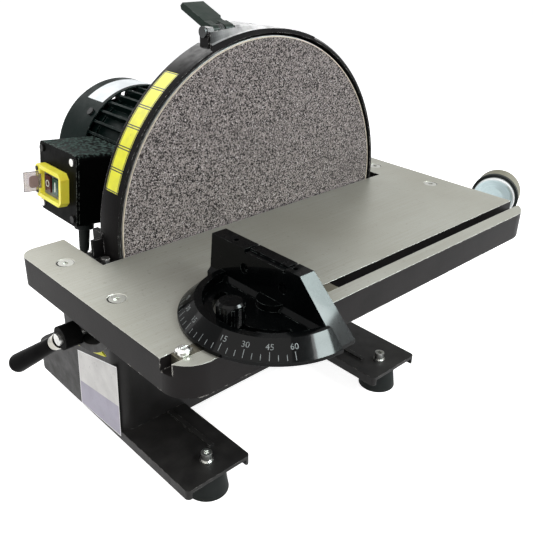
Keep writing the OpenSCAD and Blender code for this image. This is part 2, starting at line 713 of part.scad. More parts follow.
// Switch box, leaning round the motor
box_bottom = box_top - box_h;
bezel_y = box_front + 14;
bezel_z = (box_top + box_bottom) / 2 - 2;
lid_screws = [
    [box_front + 7, box_top - 7], [box_front + box_w - 6, box_bottom + 7],
    [box_front + 7, box_bottom + 7], [box_front + box_w - 6, box_top - 7]
];
module box_profile(inset) {
    r = max(5 - inset, 2);
    y0 = box_front + inset;
    z0 = box_bottom + inset;
    w = box_w - 2 * inset;
    h = box_h - 2 * inset;
    translate([y0 + r, z0]) square([w - 2 * r, h]);
    translate([y0, z0 + r]) square([w, h - 2 * r]);
    for (y = [y0 + r, y0 + w - r], z = [z0 + r, z0 + h - r]) translate([y, z]) circle(r);
}
module switch_box() color("dimgray") difference() {
    on_box() difference() {
        union() {
            difference() {
                side_plate(-box_out + 2.5, box_out - 45) box_profile(0);
                side_plate(-box_out + 1, box_out - 80) box_profile(box_wall);
            }
            for (p = lid_screws) along_x(-box_out + 2.5, p[0], p[1], 5, 14);
        }
        for (p = lid_screws) along_x(-box_out + 1, p[0], p[1], 1.8, 13);
        translate([gland_x, gland_y, box_bottom - 1]) cylinder(r = 8.05, h = 6);
        along_x(-90, box_front + 36, -6, 8, 60);
    }
    disc_at(box_front - 5, motor_r + run_gap, box_w + 10);
}
module box_lid() color("dimgray") on_box() difference() {
    side_plate(-box_out, 2.5) box_profile(0);
    for (p = lid_screws) along_x(-box_out - 1, p[0], p[1], 1.8, 5);
    translate([-box_out - 1, bezel_y + 6, bezel_z - 13]) cube([6, bezel_w - 14, 26]);
    for (z = [-1, 1]) along_x(-box_out - 1, bezel_y + bezel_w - 4, bezel_z + z * 12, 1.3, 5);
}
module capacitor() color("gainsboro") on_box()
    translate([-90, box_front + box_w - 14, box_bottom + box_wall + 0.05]) cylinder(r = 10, h = 50);
module switch_bezel() color("gold") on_box() difference() {
    side_plate(-box_out - bezel_t, bezel_t) polygon([
        [bezel_y + 5, bezel_z - bezel_h / 2], [bezel_y + bezel_w - 3, bezel_z - bezel_h / 2],
        [bezel_y + bezel_w, bezel_z - bezel_h / 2 + 3],
        [bezel_y + bezel_w, bezel_z + bezel_h / 2 - 3],
        [bezel_y + bezel_w - 3, bezel_z + bezel_h / 2], [bezel_y + 5, bezel_z + bezel_h / 2],
        [bezel_y, bezel_z + bezel_h / 2 - 5], [bezel_y, bezel_z - bezel_h / 2 + 5]
    ]);
    translate([-box_out - bezel_t - 1, bezel_y + 4, bezel_z - 12.5]) cube([30, 38, 25]);
    for (z = [-1, 1])
        along_x(-box_out - 20, bezel_y + bezel_w - 4, bezel_z + z * 12, 1.3, 30);
    translate([-box_out - bezel_t - 1, bezel_y + 42, bezel_z - 7.4]) cube([4.4, 2.8, 14.8]);
}
module switch_block() color("black") on_box() difference() {
    union() {
        translate([-box_out - 4, bezel_y + 7, bezel_z - 12.2]) cube([29, 34.5, 24.4]);
        translate([-box_out - 4, bezel_y + 4.3, bezel_z - 12.2]) cube([3.9, 37.4, 24.4]);
    }
    for (y = [start_y, stop_y]) translate([-box_out - 5, y, bezel_z - 8.3])
        cube([12, 11.6, 16.6]);
}
start_y = bezel_y + 11;
stop_y = bezel_y + 26;
module button(y) on_box() {
    translate([-box_out - 6, y + 0.4, bezel_z - 7.9]) cube([8, 10.8, 15.8]);
}
module start_button() color("seagreen") button(start_y);
module stop_button() color("firebrick") button(stop_y);

// Clear flap over the stop button, drawn standing open
flap_y = bezel_y + 43.4;
flap_x = -box_out - bezel_t + 1;
module stop_flap() color("gainsboro") on_box() {
    translate([flap_x, flap_y, bezel_z - 7]) cylinder(r = 1.1, h = 14);
    translate([flap_x - 17, flap_y - 0.6, bezel_z - 10]) cube([15.2, 1.2, 20]);
    translate([flap_x - 2, flap_y - 0.6, bezel_z - 7]) cube([2, 1.2, 14]);
}

// Mains cord with its gland and plug
module cord_gland() color("black") on_box() difference() {
    union() {
        translate([gland_x, gland_y, gland_z - 6]) cylinder(r = 8, h = 8.4);
        translate([gland_x, gland_y, gland_z - 6]) cylinder(r = 10.5, h = 6, $fn = 6);
        translate([gland_x, gland_y, gland_z - 30]) cylinder(r1 = 4.8, r2 = 8, h = 24);
    }
}
module on_bench() intersection() {
    children();
    translate([-300, 0, floor_z]) cube([600, 500, 300]);
}
module cord_run() color("black") on_bench() tube(run_pts, cord_r, 8, [0, 1, 0]);
module cord_coil() color("black") on_bench() tube(coil_pts, cord_r, 6, [0, 1, 0]);
module plug() color("black") translate([plug_x, tail_y, floor_z + plug_r])
    rotate([0, 90, 0]) rotate_extrude() polygon([
        [0, 0], [5.5, 0], [6.5, 14], [12, 20], [17.5, 26], [plug_r, 30], [plug_r, 44], [0, 44]
    ]);
module plug_pins() color("silver") for (s = [-1, 1])
    along_x(plug_x + 44, tail_y + s * 9.5, floor_z + plug_r, 2.4, 19);

// Dust outlet: chute, duct with its branch, and the capped end
module dust_chute() color("dimgray") difference() {
    union() {
        translate([60, -trough_front - cover_t, -145]) cube([wall_x - 57, 30.5, 54]);
        translate([wall_x + 1.5, -31, -146]) cube([duct_x0 - wall_x - 1.5, 54, 56]);
        along_x(duct_x0 - 1, duct_y, duct_z, duct_r - duct_wall - seat_gap, 15);
        for (z = [-157, -91]) translate([139, base_front - 3.5, z]) cube([16, 3.5, 12]);
    }
    translate([0, -trough_front, -142]) cube([wall_x - 1, 24.5, 48]);
    translate([wall_x - 5, -trough_front, -142]) cube([9.6, 24.5, 48]);
    translate([wall_x + 4.4, -28, -143]) cube([duct_x0 - wall_x - 7, 48, 50]);
    along_x(wall_x - 5, duct_y, duct_z, duct_r - 2 * duct_wall, 60);
    disc_at(-60, trough_out + seat_gap, 120);
    for (z = [-151, -85]) along_y(147, 0, z, 2, 30);
}
module dust_duct() color("dimgray") difference() {
    union() {
        along_x(duct_x0 + 0.1, duct_y, duct_z, duct_r, drum_x + duct_r - duct_x0);
        along_x(drum_x, duct_y, duct_z, collar_d / 2, duct_end - drum_x);
        translate([drum_x, duct_y, duct_z]) rotate([neck_lean, 0, 0])
            cylinder(r = 10.8, h = neck_len);
        outlet(3) cylinder(r = duct_r, h = drum_l - 3);
    }
    along_x(duct_x0 - 1, duct_y, duct_z, duct_r - duct_wall, duct_end - duct_x0 + 2);
    translate([drum_x, duct_y, duct_z]) rotate([neck_lean, 0, 0])
        cylinder(r = 8.8, h = neck_len);
    outlet(2) cylinder(r = duct_r - duct_wall, h = drum_l - 4);
}
module outlet(l) translate([outlet_x, -outlet_y, -outlet_z]) rotate([0, 0, outlet_turn])
    rotate([0, 90, 0]) translate([0, 0, l]) children();
module cap_seal() color("black") outlet(0) difference() {
    cylinder(r = ring_r, h = 5);
    translate([0, 0, -1]) cylinder(r = ring_r - 3.3, h = 4);
    translate([0, 0, 2.9]) cylinder(r = duct_r + seat_gap, h = 5);
    translate([0, 0, -1]) cylinder(r = duct_r - duct_wall - 2, h = 9);
}
module dust_cap() color("lightblue") outlet(-3.6) difference() {
    union() {
        rotate_extrude() polygon([
            [0, 6.6], [0, 5], [10, 4.4], [19, 2.6], [22.6, 0.4], [23.4, 0], [24.1, 0.4],
            [24.1, 6.5], [20.8, 6.5], [20.8, 5.6], [12, 6.6]
        ]);
        translate([0, 0, 6]) cylinder(r = 21.2, h = 6);
    }
    translate([0, 0, 7.5]) cylinder(r = 19.2, h = 8);
}

// Table with its skirt, mitre slot and countersunk holes
module outline(x, f, b, rf, rr, rb, nx, ny) difference() {
    union() {
        translate([-x + rf, -f]) square([2 * x - rf - rr, 60]);
        translate([-x, -f + rf]) square([x, f + b - rf - rb]);
        translate([-10, -f + rr]) square([x + 10, f + b - rr - rb]);
        translate([-x + rb, b - 40]) square([2 * x - 2 * rb, 40]);
        translate([rf - x, rf - f]) circle(rf);
        translate([x - rr, rr - f]) circle(rr);
        for (s = [-1, 1]) translate([s * (x - rb), b - rb]) circle(rb);
    }
    translate([-nx, ny]) square([2 * nx, 200]);
}
module inset_plan(d, nx, ny) outline(table_l / 2 - d, table_front - d, table_rear - d, front_r - d,
    right_r - d, rear_r - d, nx, ny);
module table_plan() inset_plan(0, notch_x, -table_gap);
module table() color("lightgray") difference() {
    union() {
        translate([0, 0, -table_t]) linear_extrude(table_t) table_plan();
        translate([0, 0, -skirt_h]) linear_extrude(skirt_h) intersection() {
            table_plan();
            difference() {
                inset_plan(0, 1, 400);
                difference() {
                    inset_plan(skirt_wall, 1, 400);
                    translate([-notch_x - skirt_wall, -table_gap])
                        square([2 * notch_x + 2 * skirt_wall, 200]);
                }
                translate([-notch_x - 0.01, -60]) square([2 * notch_x + 0.02, 300]);
            }
        }
        translate([0, 0, -slot_d - 5]) linear_extrude(slot_d + 5) intersection() {
            inset_plan(1, 1, 400);
            translate([-table_l / 2, -slot_y - slot_w / 2 - 6]) square([table_l, slot_w + 12]);
        }
        // Ribs under the plate
        for (x = [-120, 0, 120]) translate([x - 2.5, -table_front + 3, -16])
            cube([5, table_front - 40, 12]);
    }
    translate([-table_l, -slot_y - slot_w / 2, -slot_d]) cube([2 * table_l, slot_w, 40]);
    // Bevel that lets the edge swing past the disc
    side_plate(-notch_x, 2 * notch_x)
        polygon([[-table_gap, 0], [5, 0], [5, -table_t - 3], [-table_gap - table_t - 3, -table_t - 3]]);
    both() for (y = [21, -55]) translate([wing_x, y, 0]) {
        translate([0, 0, -4.2]) cylinder(r1 = 3.2, r2 = 7.4, h = 4.2);
        translate([0, 0, 0]) cylinder(r = 7.4, h = 5);
        translate([0, 0, -20]) cylinder(r = 3.2, h = 20);
    }
}
module table_screws() color("silver") both() for (y = [21, -55]) translate([wing_x, y, 0])
    difference() {
        union() {
            translate([0, 0, -4.3]) cylinder(r1 = 3, r2 = 6.9, h = 3.95);
            translate([0, 0, -19]) cylinder(r = 3.05, h = 15);
        }
        translate([0, 0, -2]) cylinder(r = 2.6, h = 4, $fn = 6);
    }

// Trunnion: a sector with the arc slot for the lock stud
module slot_arc() {
    w = stud_r + 0.4;
    intersection() {
        difference() {
            circle(trunnion_slot_r + w);
            circle(trunnion_slot_r - w);
        }
        polygon([[0, 0], [0, -200], [-200 * tan(tilt_max / 2), -200],
            [-200 * sin(tilt_max), -200 * cos(tilt_max)]]);
    }
    for (a = [0, tilt_max]) rotate(-a) translate([0, -trunnion_slot_r]) circle(w);
}
module trunnion() color("dimgray") difference() {
    union() {
        side_plate(trunnion_x, trunnion_t) intersection() {
            circle(trunnion_r);
            translate([-trunnion_r, -trunnion_r]) square([trunnion_r + 20, trunnion_r - table_t]);
        }
        side_plate(trunnion_x, trunnion_t) translate([-63, -20]) square([92, 20 - table_t]);
    }
    // Lightened web on the inner face
    side_plate(trunnion_x - 1, 6) difference() {
        intersection() {
            circle(trunnion_slot_r - 11);
            translate([-60, -60]) square([70, 60 - 24]);
        }
        rotate(0) translate([-3, -60]) square([6, 60]);
    }
    side_plate(trunnion_x - 1, trunnion_t + 2) slot_arc();
    for (y = [21, -55]) translate([wing_x, y, -30]) cylinder(r = 3.1, h = 40);
    along_x(trunnion_x - 1, 0, 0, 6, trunnion_t + 2);
}
module trunnion_right() trunnion();
module trunnion_left() mirror([1, 0, 0]) trunnion();
module lock_studs() color("silver") both()
    along_x(156.2, 0, stud_z, stud_r, hub_x + hub_l + 3 - 156.2);

// Lock levers
module handle(l) translate([hub_x + hub_l / 2, 0, stud_z])
    rotate([-(90 + lever_drop), 0, 0]) rotate([0, lever_lean, 0])
        translate([0, 0, l]) children();
module lock_hub() color("black") difference() {
    union() {
        along_x(hub_x, 0, stud_z, hub_r, hub_l);
        handle(0) cylinder(r = 6, h = 13);
    }
    along_x(hub_x - 10, 0, stud_z, stud_r + pin_gap, 60);
}
module lock_collar() color("silver") handle(13.05) cylinder(r1 = 7.2, r2 = 6.2, h = 9);
module lock_grip() color("black") handle(22.1) {
    cylinder(r1 = 6.2, r2 = grip_r, h = grip_l - 22.1);
    translate([0, 0, grip_l - 22.1]) sphere(r = grip_r);
}
module lock_hub_right() lock_hub();
module lock_collar_right() lock_collar();
module lock_grip_right() lock_grip();
module lock_hub_left() mirror([1, 0, 0]) lock_hub();
module lock_collar_left() mirror([1, 0, 0]) lock_collar();
module lock_grip_left() mirror([1, 0, 0]) lock_grip();
module tilt_pointer() color("yellowgreen") difference() {
    union() {
        translate([-trunnion_x - 6, 17, -76]) cube([26, 14, 1.5]);
        side_plate(-trunnion_x - 6, 1.5) polygon([
            [30, -76], [30, -72.5], [16, -71.5], [2, -69.8], [-10, -66.4], [-18.5, -62.2],
            [-27.3, -65.5], [-20, -67.5], [-8, -71], [2, -74], [16, -76]
        ]);
    }
    translate([12 - trunnion_x, 24, -90]) cylinder(r = 2.1, h = 20);
}

// Mitre gauge
module mitre_bar() color("silver") difference() {
    union() {
        translate([bar_x0, -slot_y - bar_w / 2, -slot_d + 0.3])
            cube([bar_l, bar_w, slot_d - 0.4]);
        translate([pivot_x, -slot_y, -2]) cylinder(r = 4, h = 10);
    }
    translate([bar_x0 + 6, -slot_y, -8]) cylinder(r = 2.55, h = 20);
    translate([pivot_x - knob_reach, -slot_y, -20]) cylinder(r = 3 + pin_gap, h = 40);
}
module bar_screw() color("silver") translate([bar_x0 + 6, -slot_y, 0]) difference() {
    union() {
        translate([0, 0, -7.5]) cylinder(r = 2.5, h = 9);
        translate([0, 0, 1.2]) cylinder(r = 5, h = 2);
        translate([0, 0, 3.2]) cylinder(r1 = 5, r2 = 3.2, h = 1.2);
    }
    translate([-4, -0.6, 3.4]) cube([8, 1.2, 2]);
}
module bar_pointer() color("silver") difference() {
    translate([0, 0, -0.05]) linear_extrude(1.2) {
        translate([bar_x0 + 6, -slot_y]) polygon([[-4.6, -3.4], [-3.4, -4.6], [1, -4.6],
            [7.9, 0], [1, 4.6], [-3.4, 4.6], [-4.6, 3.4]]);
    }
    translate([bar_x0 + 6, -slot_y, -2]) cylinder(r = 2.55, h = 10);
}
head_z = 0.4;
module half_turn(p) translate([pivot_x, -slot_y, head_z]) rotate([0, 0, 90])
    rotate_extrude(angle = 180) polygon(p);
module mitre_head() color("dimgray") difference() {
    union() {
        half_turn([[0, 0], [head_r, 0], [head_r, 2.6], [head_r - 11.5, 13.6],
            [head_r - 16.9, 13.6], [head_r - 17.4, 7], [0, 7]]);
        half_turn([[0, 0], [12, 0], [12, 12], [0, 12]]);
        intersection() {
            translate([0, -slot_y + 67.2, head_z]) rotate([90, 0, 0]) linear_extrude(131.2)
                polygon([[pivot_x - 5, 0], [pivot_x + fence_t, 0],
                    [pivot_x + fence_t - 0.5, fence_h - head_z],
                    [pivot_x, fence_h - head_z], [pivot_x - 2, 11], [pivot_x - 5, 8]]);
            side_plate(pivot_x - 6, fence_t + 7) polygon([
                [-slot_y + 68, 0], [-slot_y + 68, fence_h + 1], [-slot_y - 23.8, fence_h + 1],
                [-slot_y - 64, 3.2], [-slot_y - 64, 0]
            ]);
        }
    }
    translate([pivot_x, -slot_y, head_z - 1]) cylinder(r = 4 + pin_gap, h = 9.6);
    translate([pivot_x, -slot_y, head_z - 1]) linear_extrude(20) {
        w = 3.6;
        intersection() {
            difference() {
                circle(knob_reach + w);
                circle(knob_reach - w);
            }
            polygon([[0, 0], [-100 * cos(66), -100 * sin(66)], [-100, -70], [-100, 70],
                [-100 * cos(66), 100 * sin(66)]]);
        }
    }
    // Slits, screw holes for a facing, and the shallow step between them
    for (y = [29.5, -10.2]) translate([pivot_x, y - slot_y, 0]) {
        translate([-1, -0.9, fence_h - 3]) cube([fence_t + 2, 1.8, 10]);
        along_x(-8, 0, 24, 2.2, fence_t + 12);
        along_x(-8, 0, 24, 3.9, 10);
    }
    for (y = [46.5, -14.8]) translate([pivot_x + 6, y - slot_y, fence_h - 3]) cylinder(r = 2, h = 8);
    translate([pivot_x - 2, -10.2 - slot_y, fence_h - 1.6]) cube([0.45 * fence_t, 39.7, 10]);
}
module mitre_knob() color("black") translate([pivot_x - knob_reach, -slot_y, 0]) {
    translate([0, 0, head_z + 7.3]) cylinder(r = knob_d / 2, h = 15);
    translate([0, 0, head_z + 22.3]) cylinder(r1 = knob_d / 2, r2 = knob_d / 2 - 1.5, h = 1.5);
    for (i = [0 : 11]) rotate(i * 30) translate([knob_d / 2 - 0.6, -1, head_z + 8.5])
        cube([1.1, 2, 12.5]);
    translate([0, 0, -6]) cylinder(r = 3, h = 15);
}

// Everything that turns with the spindle
module disc_plate() color("silver") difference() {
    disc_at(grit_t, disc_r, plate_t);
    for (a = [0 : 90 : 270]) at_spindle(grit_t) rotate([0, 0, a]) translate([25, 0, 0]) {
        translate([0, 0, -1]) cylinder(r = 3.1, h = 20);
        translate([0, 0, -1]) cylinder(r = 6, h = 5);
    }
}
module abrasive_disc() color("saddlebrown") disc_at(0, disc_r - 0.5, grit_t);
module disc_hub() color("gray") difference() {
    union() {
        disc_at(disc_back, 32, 6);
        disc_at(disc_back, 20, 24);
    }
    disc_at(disc_back - 1, shaft_r + seat_gap, 30);
    for (a = [0 : 90 : 270]) at_spindle(disc_back - 1) rotate([0, 0, a])
        translate([25, 0, 0]) cylinder(r = 3.1, h = 20);
}
module hub_screws() color("silver") {
    for (a = [0 : 90 : 270]) at_spindle(grit_t + 0.3) rotate([0, 0, a]) translate([25, 0, 0]) {
        cylinder(r = 3.05, h = plate_t + 5);
        cylinder(r = 5.8, h = 3.6);
    }
}

seat() base();
seat() rubber_feet();
seat() foot_bolts();
seat() lower_cover();
seat() guard();
seat() housing_screws();
seat() brake_pin();
seat() brake_spring();
seat() motor_front_bell();
seat() motor_frame();
seat() stator();
seat() windings();
seat() motor_rear_bell();
seat() bearings();
seat() fan_cover();
seat() small_screws();
seat() switch_box();
seat() box_lid();
seat() capacitor();
seat() switch_bezel();
seat() switch_block();
seat() start_button();
seat() stop_button();
seat() stop_flap();
seat() cord_gland();
seat() cord_run();
seat() cord_coil();
seat() plug();
seat() plug_pins();
seat() dust_chute();
seat() dust_duct();
seat() cap_seal();
seat() dust_cap();
seat() lock_studs();
seat() tilt_pointer();
seat() table();
seat() trunnion_left();
seat() trunnion_right();
seat() table_screws();
seat() lock_hub_left();
seat() lock_collar_left();
seat() lock_grip_left();
seat() lock_hub_right();
seat() lock_collar_right();
seat() lock_grip_right();
seat() mitre_bar();
seat() bar_screw();
seat() bar_pointer();
seat() mitre_head();
seat() mitre_knob();
seat() disc_plate();
seat() abrasive_disc();
seat() disc_hub();
seat() hub_screws();
seat() motor_shaft();
seat() rotor();
seat() fan();
seat() brake_lever();
seat() brake_pad();
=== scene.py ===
# %% [markdown]
# # A benchtop disc sander
# The machine was drawn in CAD first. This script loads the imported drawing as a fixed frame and
# gives it what a drawing lacks: paint, ground iron, grit, rubber, stickers, the marks on the
# dial and the switch, and a smooth mains cord. The drawn pieces stay where they are, because
# the joints of the machine belong to them. Whatever is added rides on one of its bodies.

# %% Load the packed sander
import json
import math

import bmesh
import bpy
from mathutils import Matrix, Vector


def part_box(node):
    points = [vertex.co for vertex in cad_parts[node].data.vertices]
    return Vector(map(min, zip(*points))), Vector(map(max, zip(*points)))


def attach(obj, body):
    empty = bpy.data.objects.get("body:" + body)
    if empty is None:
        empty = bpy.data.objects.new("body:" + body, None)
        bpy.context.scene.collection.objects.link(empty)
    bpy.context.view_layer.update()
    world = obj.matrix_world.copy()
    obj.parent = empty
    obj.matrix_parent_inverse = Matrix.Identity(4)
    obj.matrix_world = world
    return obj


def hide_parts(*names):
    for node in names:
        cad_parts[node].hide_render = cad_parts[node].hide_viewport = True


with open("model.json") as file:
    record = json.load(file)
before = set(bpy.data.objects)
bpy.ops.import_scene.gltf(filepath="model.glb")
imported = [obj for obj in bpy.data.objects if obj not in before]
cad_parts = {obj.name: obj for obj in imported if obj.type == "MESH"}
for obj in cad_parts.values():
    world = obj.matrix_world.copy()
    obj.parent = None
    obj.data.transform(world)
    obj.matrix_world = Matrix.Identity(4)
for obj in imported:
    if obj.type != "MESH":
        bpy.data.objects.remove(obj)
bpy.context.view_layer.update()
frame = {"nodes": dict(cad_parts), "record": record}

MM = 0.001
nodes = frame["nodes"]
mounts = {m["name"]: m for m in frame["record"]["mounts"]}

# The drawing has x = 0 on the spindle, y = 0 on the abrasive and z = 0 on the table top.
# The mount on the table lies 80 mm in front of the abrasive.
ABRASIVE_BEHIND = 0.080
ORIGIN = Vector(mounts["table_top"]["pos_m"]) + Vector((0, ABRASIVE_BEHIND, 0))
SPINDLE_UP = 7.0
FLOOR = -219.0


def at(x, y, z):
    """A point of the drawing, in millimetres, as a place in the scene."""
    return ORIGIN + Vector((x, y, z)) * MM


print("pieces in the frame:", len(nodes))

# %% [markdown]
# ## The camera comes first
# The photograph was taken from the front left, a little above the table. A pinhole camera was
# fitted to the round outline of the disc and the straight edges of the table, so the same
# numbers stand here: where the lens is, where it looks, how far it is turned, and its length.
# An object that has been measured this way can be laid over the photograph line by line.

# %% Camera
CAMERA_AT = (-413.10, -444.89, 247.56)
YAW, PITCH, ROLL = 43.382, 26.702, 1.483
FOCAL_PX, FRAME_PX = 690.33, 533.0
SENSOR = 36.0
NEAREST = 0.02
scene = bpy.context.scene


def linked(name, data):
    """A new object with this data, linked to the scene."""
    thing = bpy.data.objects.new(name, data)
    scene.collection.objects.link(thing)
    return thing


camera_data = bpy.data.cameras.new("camera")
camera_data.sensor_width = SENSOR
camera_data.lens = SENSOR * FOCAL_PX / FRAME_PX
camera_data.clip_start = NEAREST
camera = linked("camera", camera_data)
turn = (Matrix.Rotation(math.radians(-YAW), 4, "Z")
        @ Matrix.Rotation(math.radians(90 - PITCH), 4, "X")
        @ Matrix.Rotation(math.radians(ROLL), 4, "Z"))
camera.matrix_world = Matrix.Translation(at(*CAMERA_AT)) @ turn
scene.camera = camera
print("lens, mm:", round(camera_data.lens, 2))

# %% [markdown]
# ## The world
# A bench machine is black, grey and bright metal, so most of what the eye reads as shape is a
# reflection. The photograph has a white ground. The camera, and whatever metal or glass mirrors
# or lets through, therefore sees world and floor as white paper, while the light that falls on
# the machine comes from a plain, weaker grey. Light Path tells the two kinds of ray apart.

# %% World
SHADE_FILL = (0.80, 0.83, 0.88, 1)
FILL_STRENGTH = 0.26


def seen_or_mirrored(tree):
    """1 for what is seen directly, in metal or through glass, and 0 for light on things."""
    rays = tree.nodes.new("ShaderNodeLightPath")
    total = rays.outputs["Is Camera Ray"]
    for kind in ("Is Glossy Ray", "Is Transmission Ray"):
        either = tree.nodes.new("ShaderNodeMath")
        either.operation = "MAXIMUM"
        tree.links.new(total, either.inputs[0])
        tree.links.new(rays.outputs[kind], either.inputs[1])
        total = either.outputs[0]
    return total


def blend_shaders(tree, plain, white, out):
    """The plain shader lights things, the white one is seen and mirrored."""
    blend = tree.nodes.new("ShaderNodeMixShader")
    tree.links.new(seen_or_mirrored(tree), blend.inputs["Fac"])
    tree.links.new(plain.outputs[0], blend.inputs[1])
    tree.links.new(white.outputs[0], blend.inputs[2])
    tree.links.new(blend.outputs[0], out.inputs[0])


scene.view_settings.view_transform = "Standard"
world = bpy.data.worlds.new("studio")
scene.world = world
world.use_nodes = True
tree = world.node_tree
tree.nodes.clear()
world_out = tree.nodes.new("ShaderNodeOutputWorld")
fill = tree.nodes.new("ShaderNodeBackground")
fill.inputs["Color"].default_value = SHADE_FILL
fill.inputs["Strength"].default_value = FILL_STRENGTH
seen = tree.nodes.new("ShaderNodeBackground")
seen.inputs["Color"].default_value = (1, 1, 1, 1)
seen.inputs["Strength"].default_value = 1.0
blend_shaders(tree, fill, seen, world_out)
print("fill strength:", FILL_STRENGTH)

# %% [markdown]
# ## Lamps
# A broad lamp stands at the upper left, weaker ones at the right, behind and low in front. Large
# soft lamps keep the edges of shadows soft and draw wide highlights on the paint. The last one is
# a narrow strip that lights nothing and only shows as a gleam on smooth black paint.

# %% Lamps


def lamp(name, place, aim, wide, power, colour=(1, 1, 1), high=None):
    """A flat area lamp at one point of the drawing, aimed at another."""
    data = bpy.data.lights.new(name, "AREA")
    data.shape = "RECTANGLE"
    data.size = wide
    data.size_y = high or wide
    data.energy = power
    data.color = colour
    thing = linked(name, data)
    facing_aim = (at(*aim) - at(*place)).to_track_quat("-Z", "Y").to_matrix().to_4x4()
    thing.matrix_world = Matrix.Translation(at(*place)) @ facing_aim
    return thing


DIAL_CORNER = (-120, -180, 0)
lamp("key_lamp", (-1000, -350, 1200), (0, 0, 0), 2.0, 22, (1.0, 0.98, 0.95))
lamp("side_lamp", (1100, -500, 500), (0, 0, -50), 1.0, 9, (0.95, 0.98, 1.0))
lamp("back_lamp", (-200, 1100, 900), (0, 50, 0), 1.0, 8)
lamp("front_lamp", (360, -870, 830), DIAL_CORNER, 0.70, 8, high=0.22)
lamp("low_lamp", (-700, -1000, 0), (0, 0, -120), 0.9, 4)
gleam = lamp("gleam_lamp", (400, -840, 800), DIAL_CORNER, 0.80, 26, (0.84, 1.0, 0.99), 0.20)
gleam.visible_diffuse = False
print("lamps:", len(bpy.data.lights))

# %% [markdown]
# ## The floor
# The floor is a plain pale sheet just under the rubber feet. It keeps the soft shadow of the
# machine, and a little glow on the rays that are seen lifts the rest of it to white.

# %% Floor
FLOOR_SIZE = 30.0
FLOOR_DOWN = 0.0005
FLOOR_GLOW = 0.84


def mesh_from(bm, name):
    """A mesh from the bmesh, which isn't needed after that."""
    data = bpy.data.meshes.new(name)
    bm.to_mesh(data)
    bm.free()
    return data


floor_bm = bmesh.new()
bmesh.ops.create_grid(floor_bm, x_segments=1, y_segments=1, size=FLOOR_SIZE)
floor_mesh = mesh_from(floor_bm, "floor")
floor = linked("floor", floor_mesh)
floor.location.z = -FLOOR_DOWN

pale = bpy.data.materials.new("pale_floor")
pale.use_nodes = True
tree = pale.node_tree
tree.nodes.clear()
floor_out = tree.nodes.new("ShaderNodeOutputMaterial")
matt = tree.nodes.new("ShaderNodeBsdfDiffuse")
matt.inputs["Color"].default_value = (0.82, 0.82, 0.82, 1)
glow = tree.nodes.new("ShaderNodeEmission")
glow.inputs["Strength"].default_value = FLOOR_GLOW
glowing = tree.nodes.new("ShaderNodeAddShader")
tree.links.new(matt.outputs[0], glowing.inputs[0])
tree.links.new(glow.outputs[0], glowing.inputs[1])
blend_shaders(tree, matt, glowing, floor_out)
floor_mesh.materials.append(pale)
print("floor, m:", 2 * FLOOR_SIZE, "wide")

# %% [markdown]
# ## The mains cord
# A rubber-sheathed cord leaves the switch box downwards through a tapered strain relief, runs
# down the back of the base and lies in a flat coil behind the machine. It is one open curve
# with a round section that passes through the points of the drawing, so the tube stays where
# its solid is. The coil has two layers: inwards below, outwards above. A curve with automatic
# handles is smooth between its points, which a mesh tube would need many more points for.

# %% The leaning switch box
LEAN = math.radians(5.7)
GLAND = (-111.5, 133.5, -41.2)
GLAND_LONG = 30.0


def on_box(x, y, z):
    """A point of the leaning switch box as a point of the drawing."""
    return (x * math.cos(LEAN) + z * math.sin(LEAN), y,
            SPINDLE_UP - x * math.sin(LEAN) + z * math.cos(LEAN))


print("gland at", [round(c, 1) for c in on_box(*GLAND)])

# %% Shape of the coil
CORD_D = 7.2
COIL_AT = (60.0, 262.0)
COIL_R = 57.0
COIL_TURNS = 6
COIL_STEPS = 24
TURNS_IN, TURNS_TO_OUT = 3.5, 4.5
STEP_OUT = 12.0
LOOP_IN = CORD_D + 0.8
LAYER_UP = CORD_D + 0.7
LIE = FLOOR + 0.4 * CORD_D


def ease(t):
    """Rises smoothly from 0 to 1."""
    t = min(max(t, 0.0), 1.0)
    return t * t * (3 - 2 * t)


def coil_radius(turns):
    """Inwards for three and a half turns, out again on top of them."""
    if turns < TURNS_IN:
        return COIL_R - LOOP_IN * turns
    inmost = COIL_R - LOOP_IN * TURNS_IN
    if turns < TURNS_TO_OUT:
        return inmost + STEP_OUT * (turns - TURNS_IN)
    return inmost + STEP_OUT + LOOP_IN * (turns - TURNS_TO_OUT)


def coil_point(turns):
    """A point on the coil; it climbs to the upper layer during half a turn."""
    a = math.radians(360 * turns - 90)
    r = coil_radius(turns)
    return (COIL_AT[0] + r * math.cos(a), COIL_AT[1] + r * math.sin(a),
            LIE + LAYER_UP * ease((turns - 3) * 2))


print("coil, mm across:", round(2 * COIL_R + CORD_D, 1))

# %% Route of the cord
RUN_Y = COIL_AT[1] - COIL_R
TAIL_Y = RUN_Y + 4.0
PLUG_R = 18.0
PLUG_X = 104.0
GLAND_END = (GLAND[0], GLAND[1], GLAND[2] - GLAND_LONG)
HANG = [
    on_box(*GLAND_END), on_box(*GLAND_END[:2], GLAND_END[2] - CORD_D),
    (-118, 140, -85), (-119, 154, -112), (-118, 174, -136), (-116, 191, -156),
    (-111, 199, -180), (-100, 204, -202), (-82, 205, -213),
    (-62, RUN_Y, LIE), (10, RUN_Y, LIE), (44, RUN_Y, LIE), (52, RUN_Y, LIE),
]
TAIL = [
    (60, TAIL_Y, LIE + LAYER_UP), (72, TAIL_Y, LIE + LAYER_UP + 1),
    (84, TAIL_Y, FLOOR + PLUG_R - 1.2), (94, TAIL_Y, FLOOR + PLUG_R),
    (PLUG_X, TAIL_Y, FLOOR + PLUG_R),
]


def halfway(points, i):
    """The middle of a stretch of the smooth line through the given points."""
    a, b, c, d = (Vector(points[j]) for j in (i - 1, i, i + 1, i + 2))
    return (9 * (b + c) - a - d) / 16


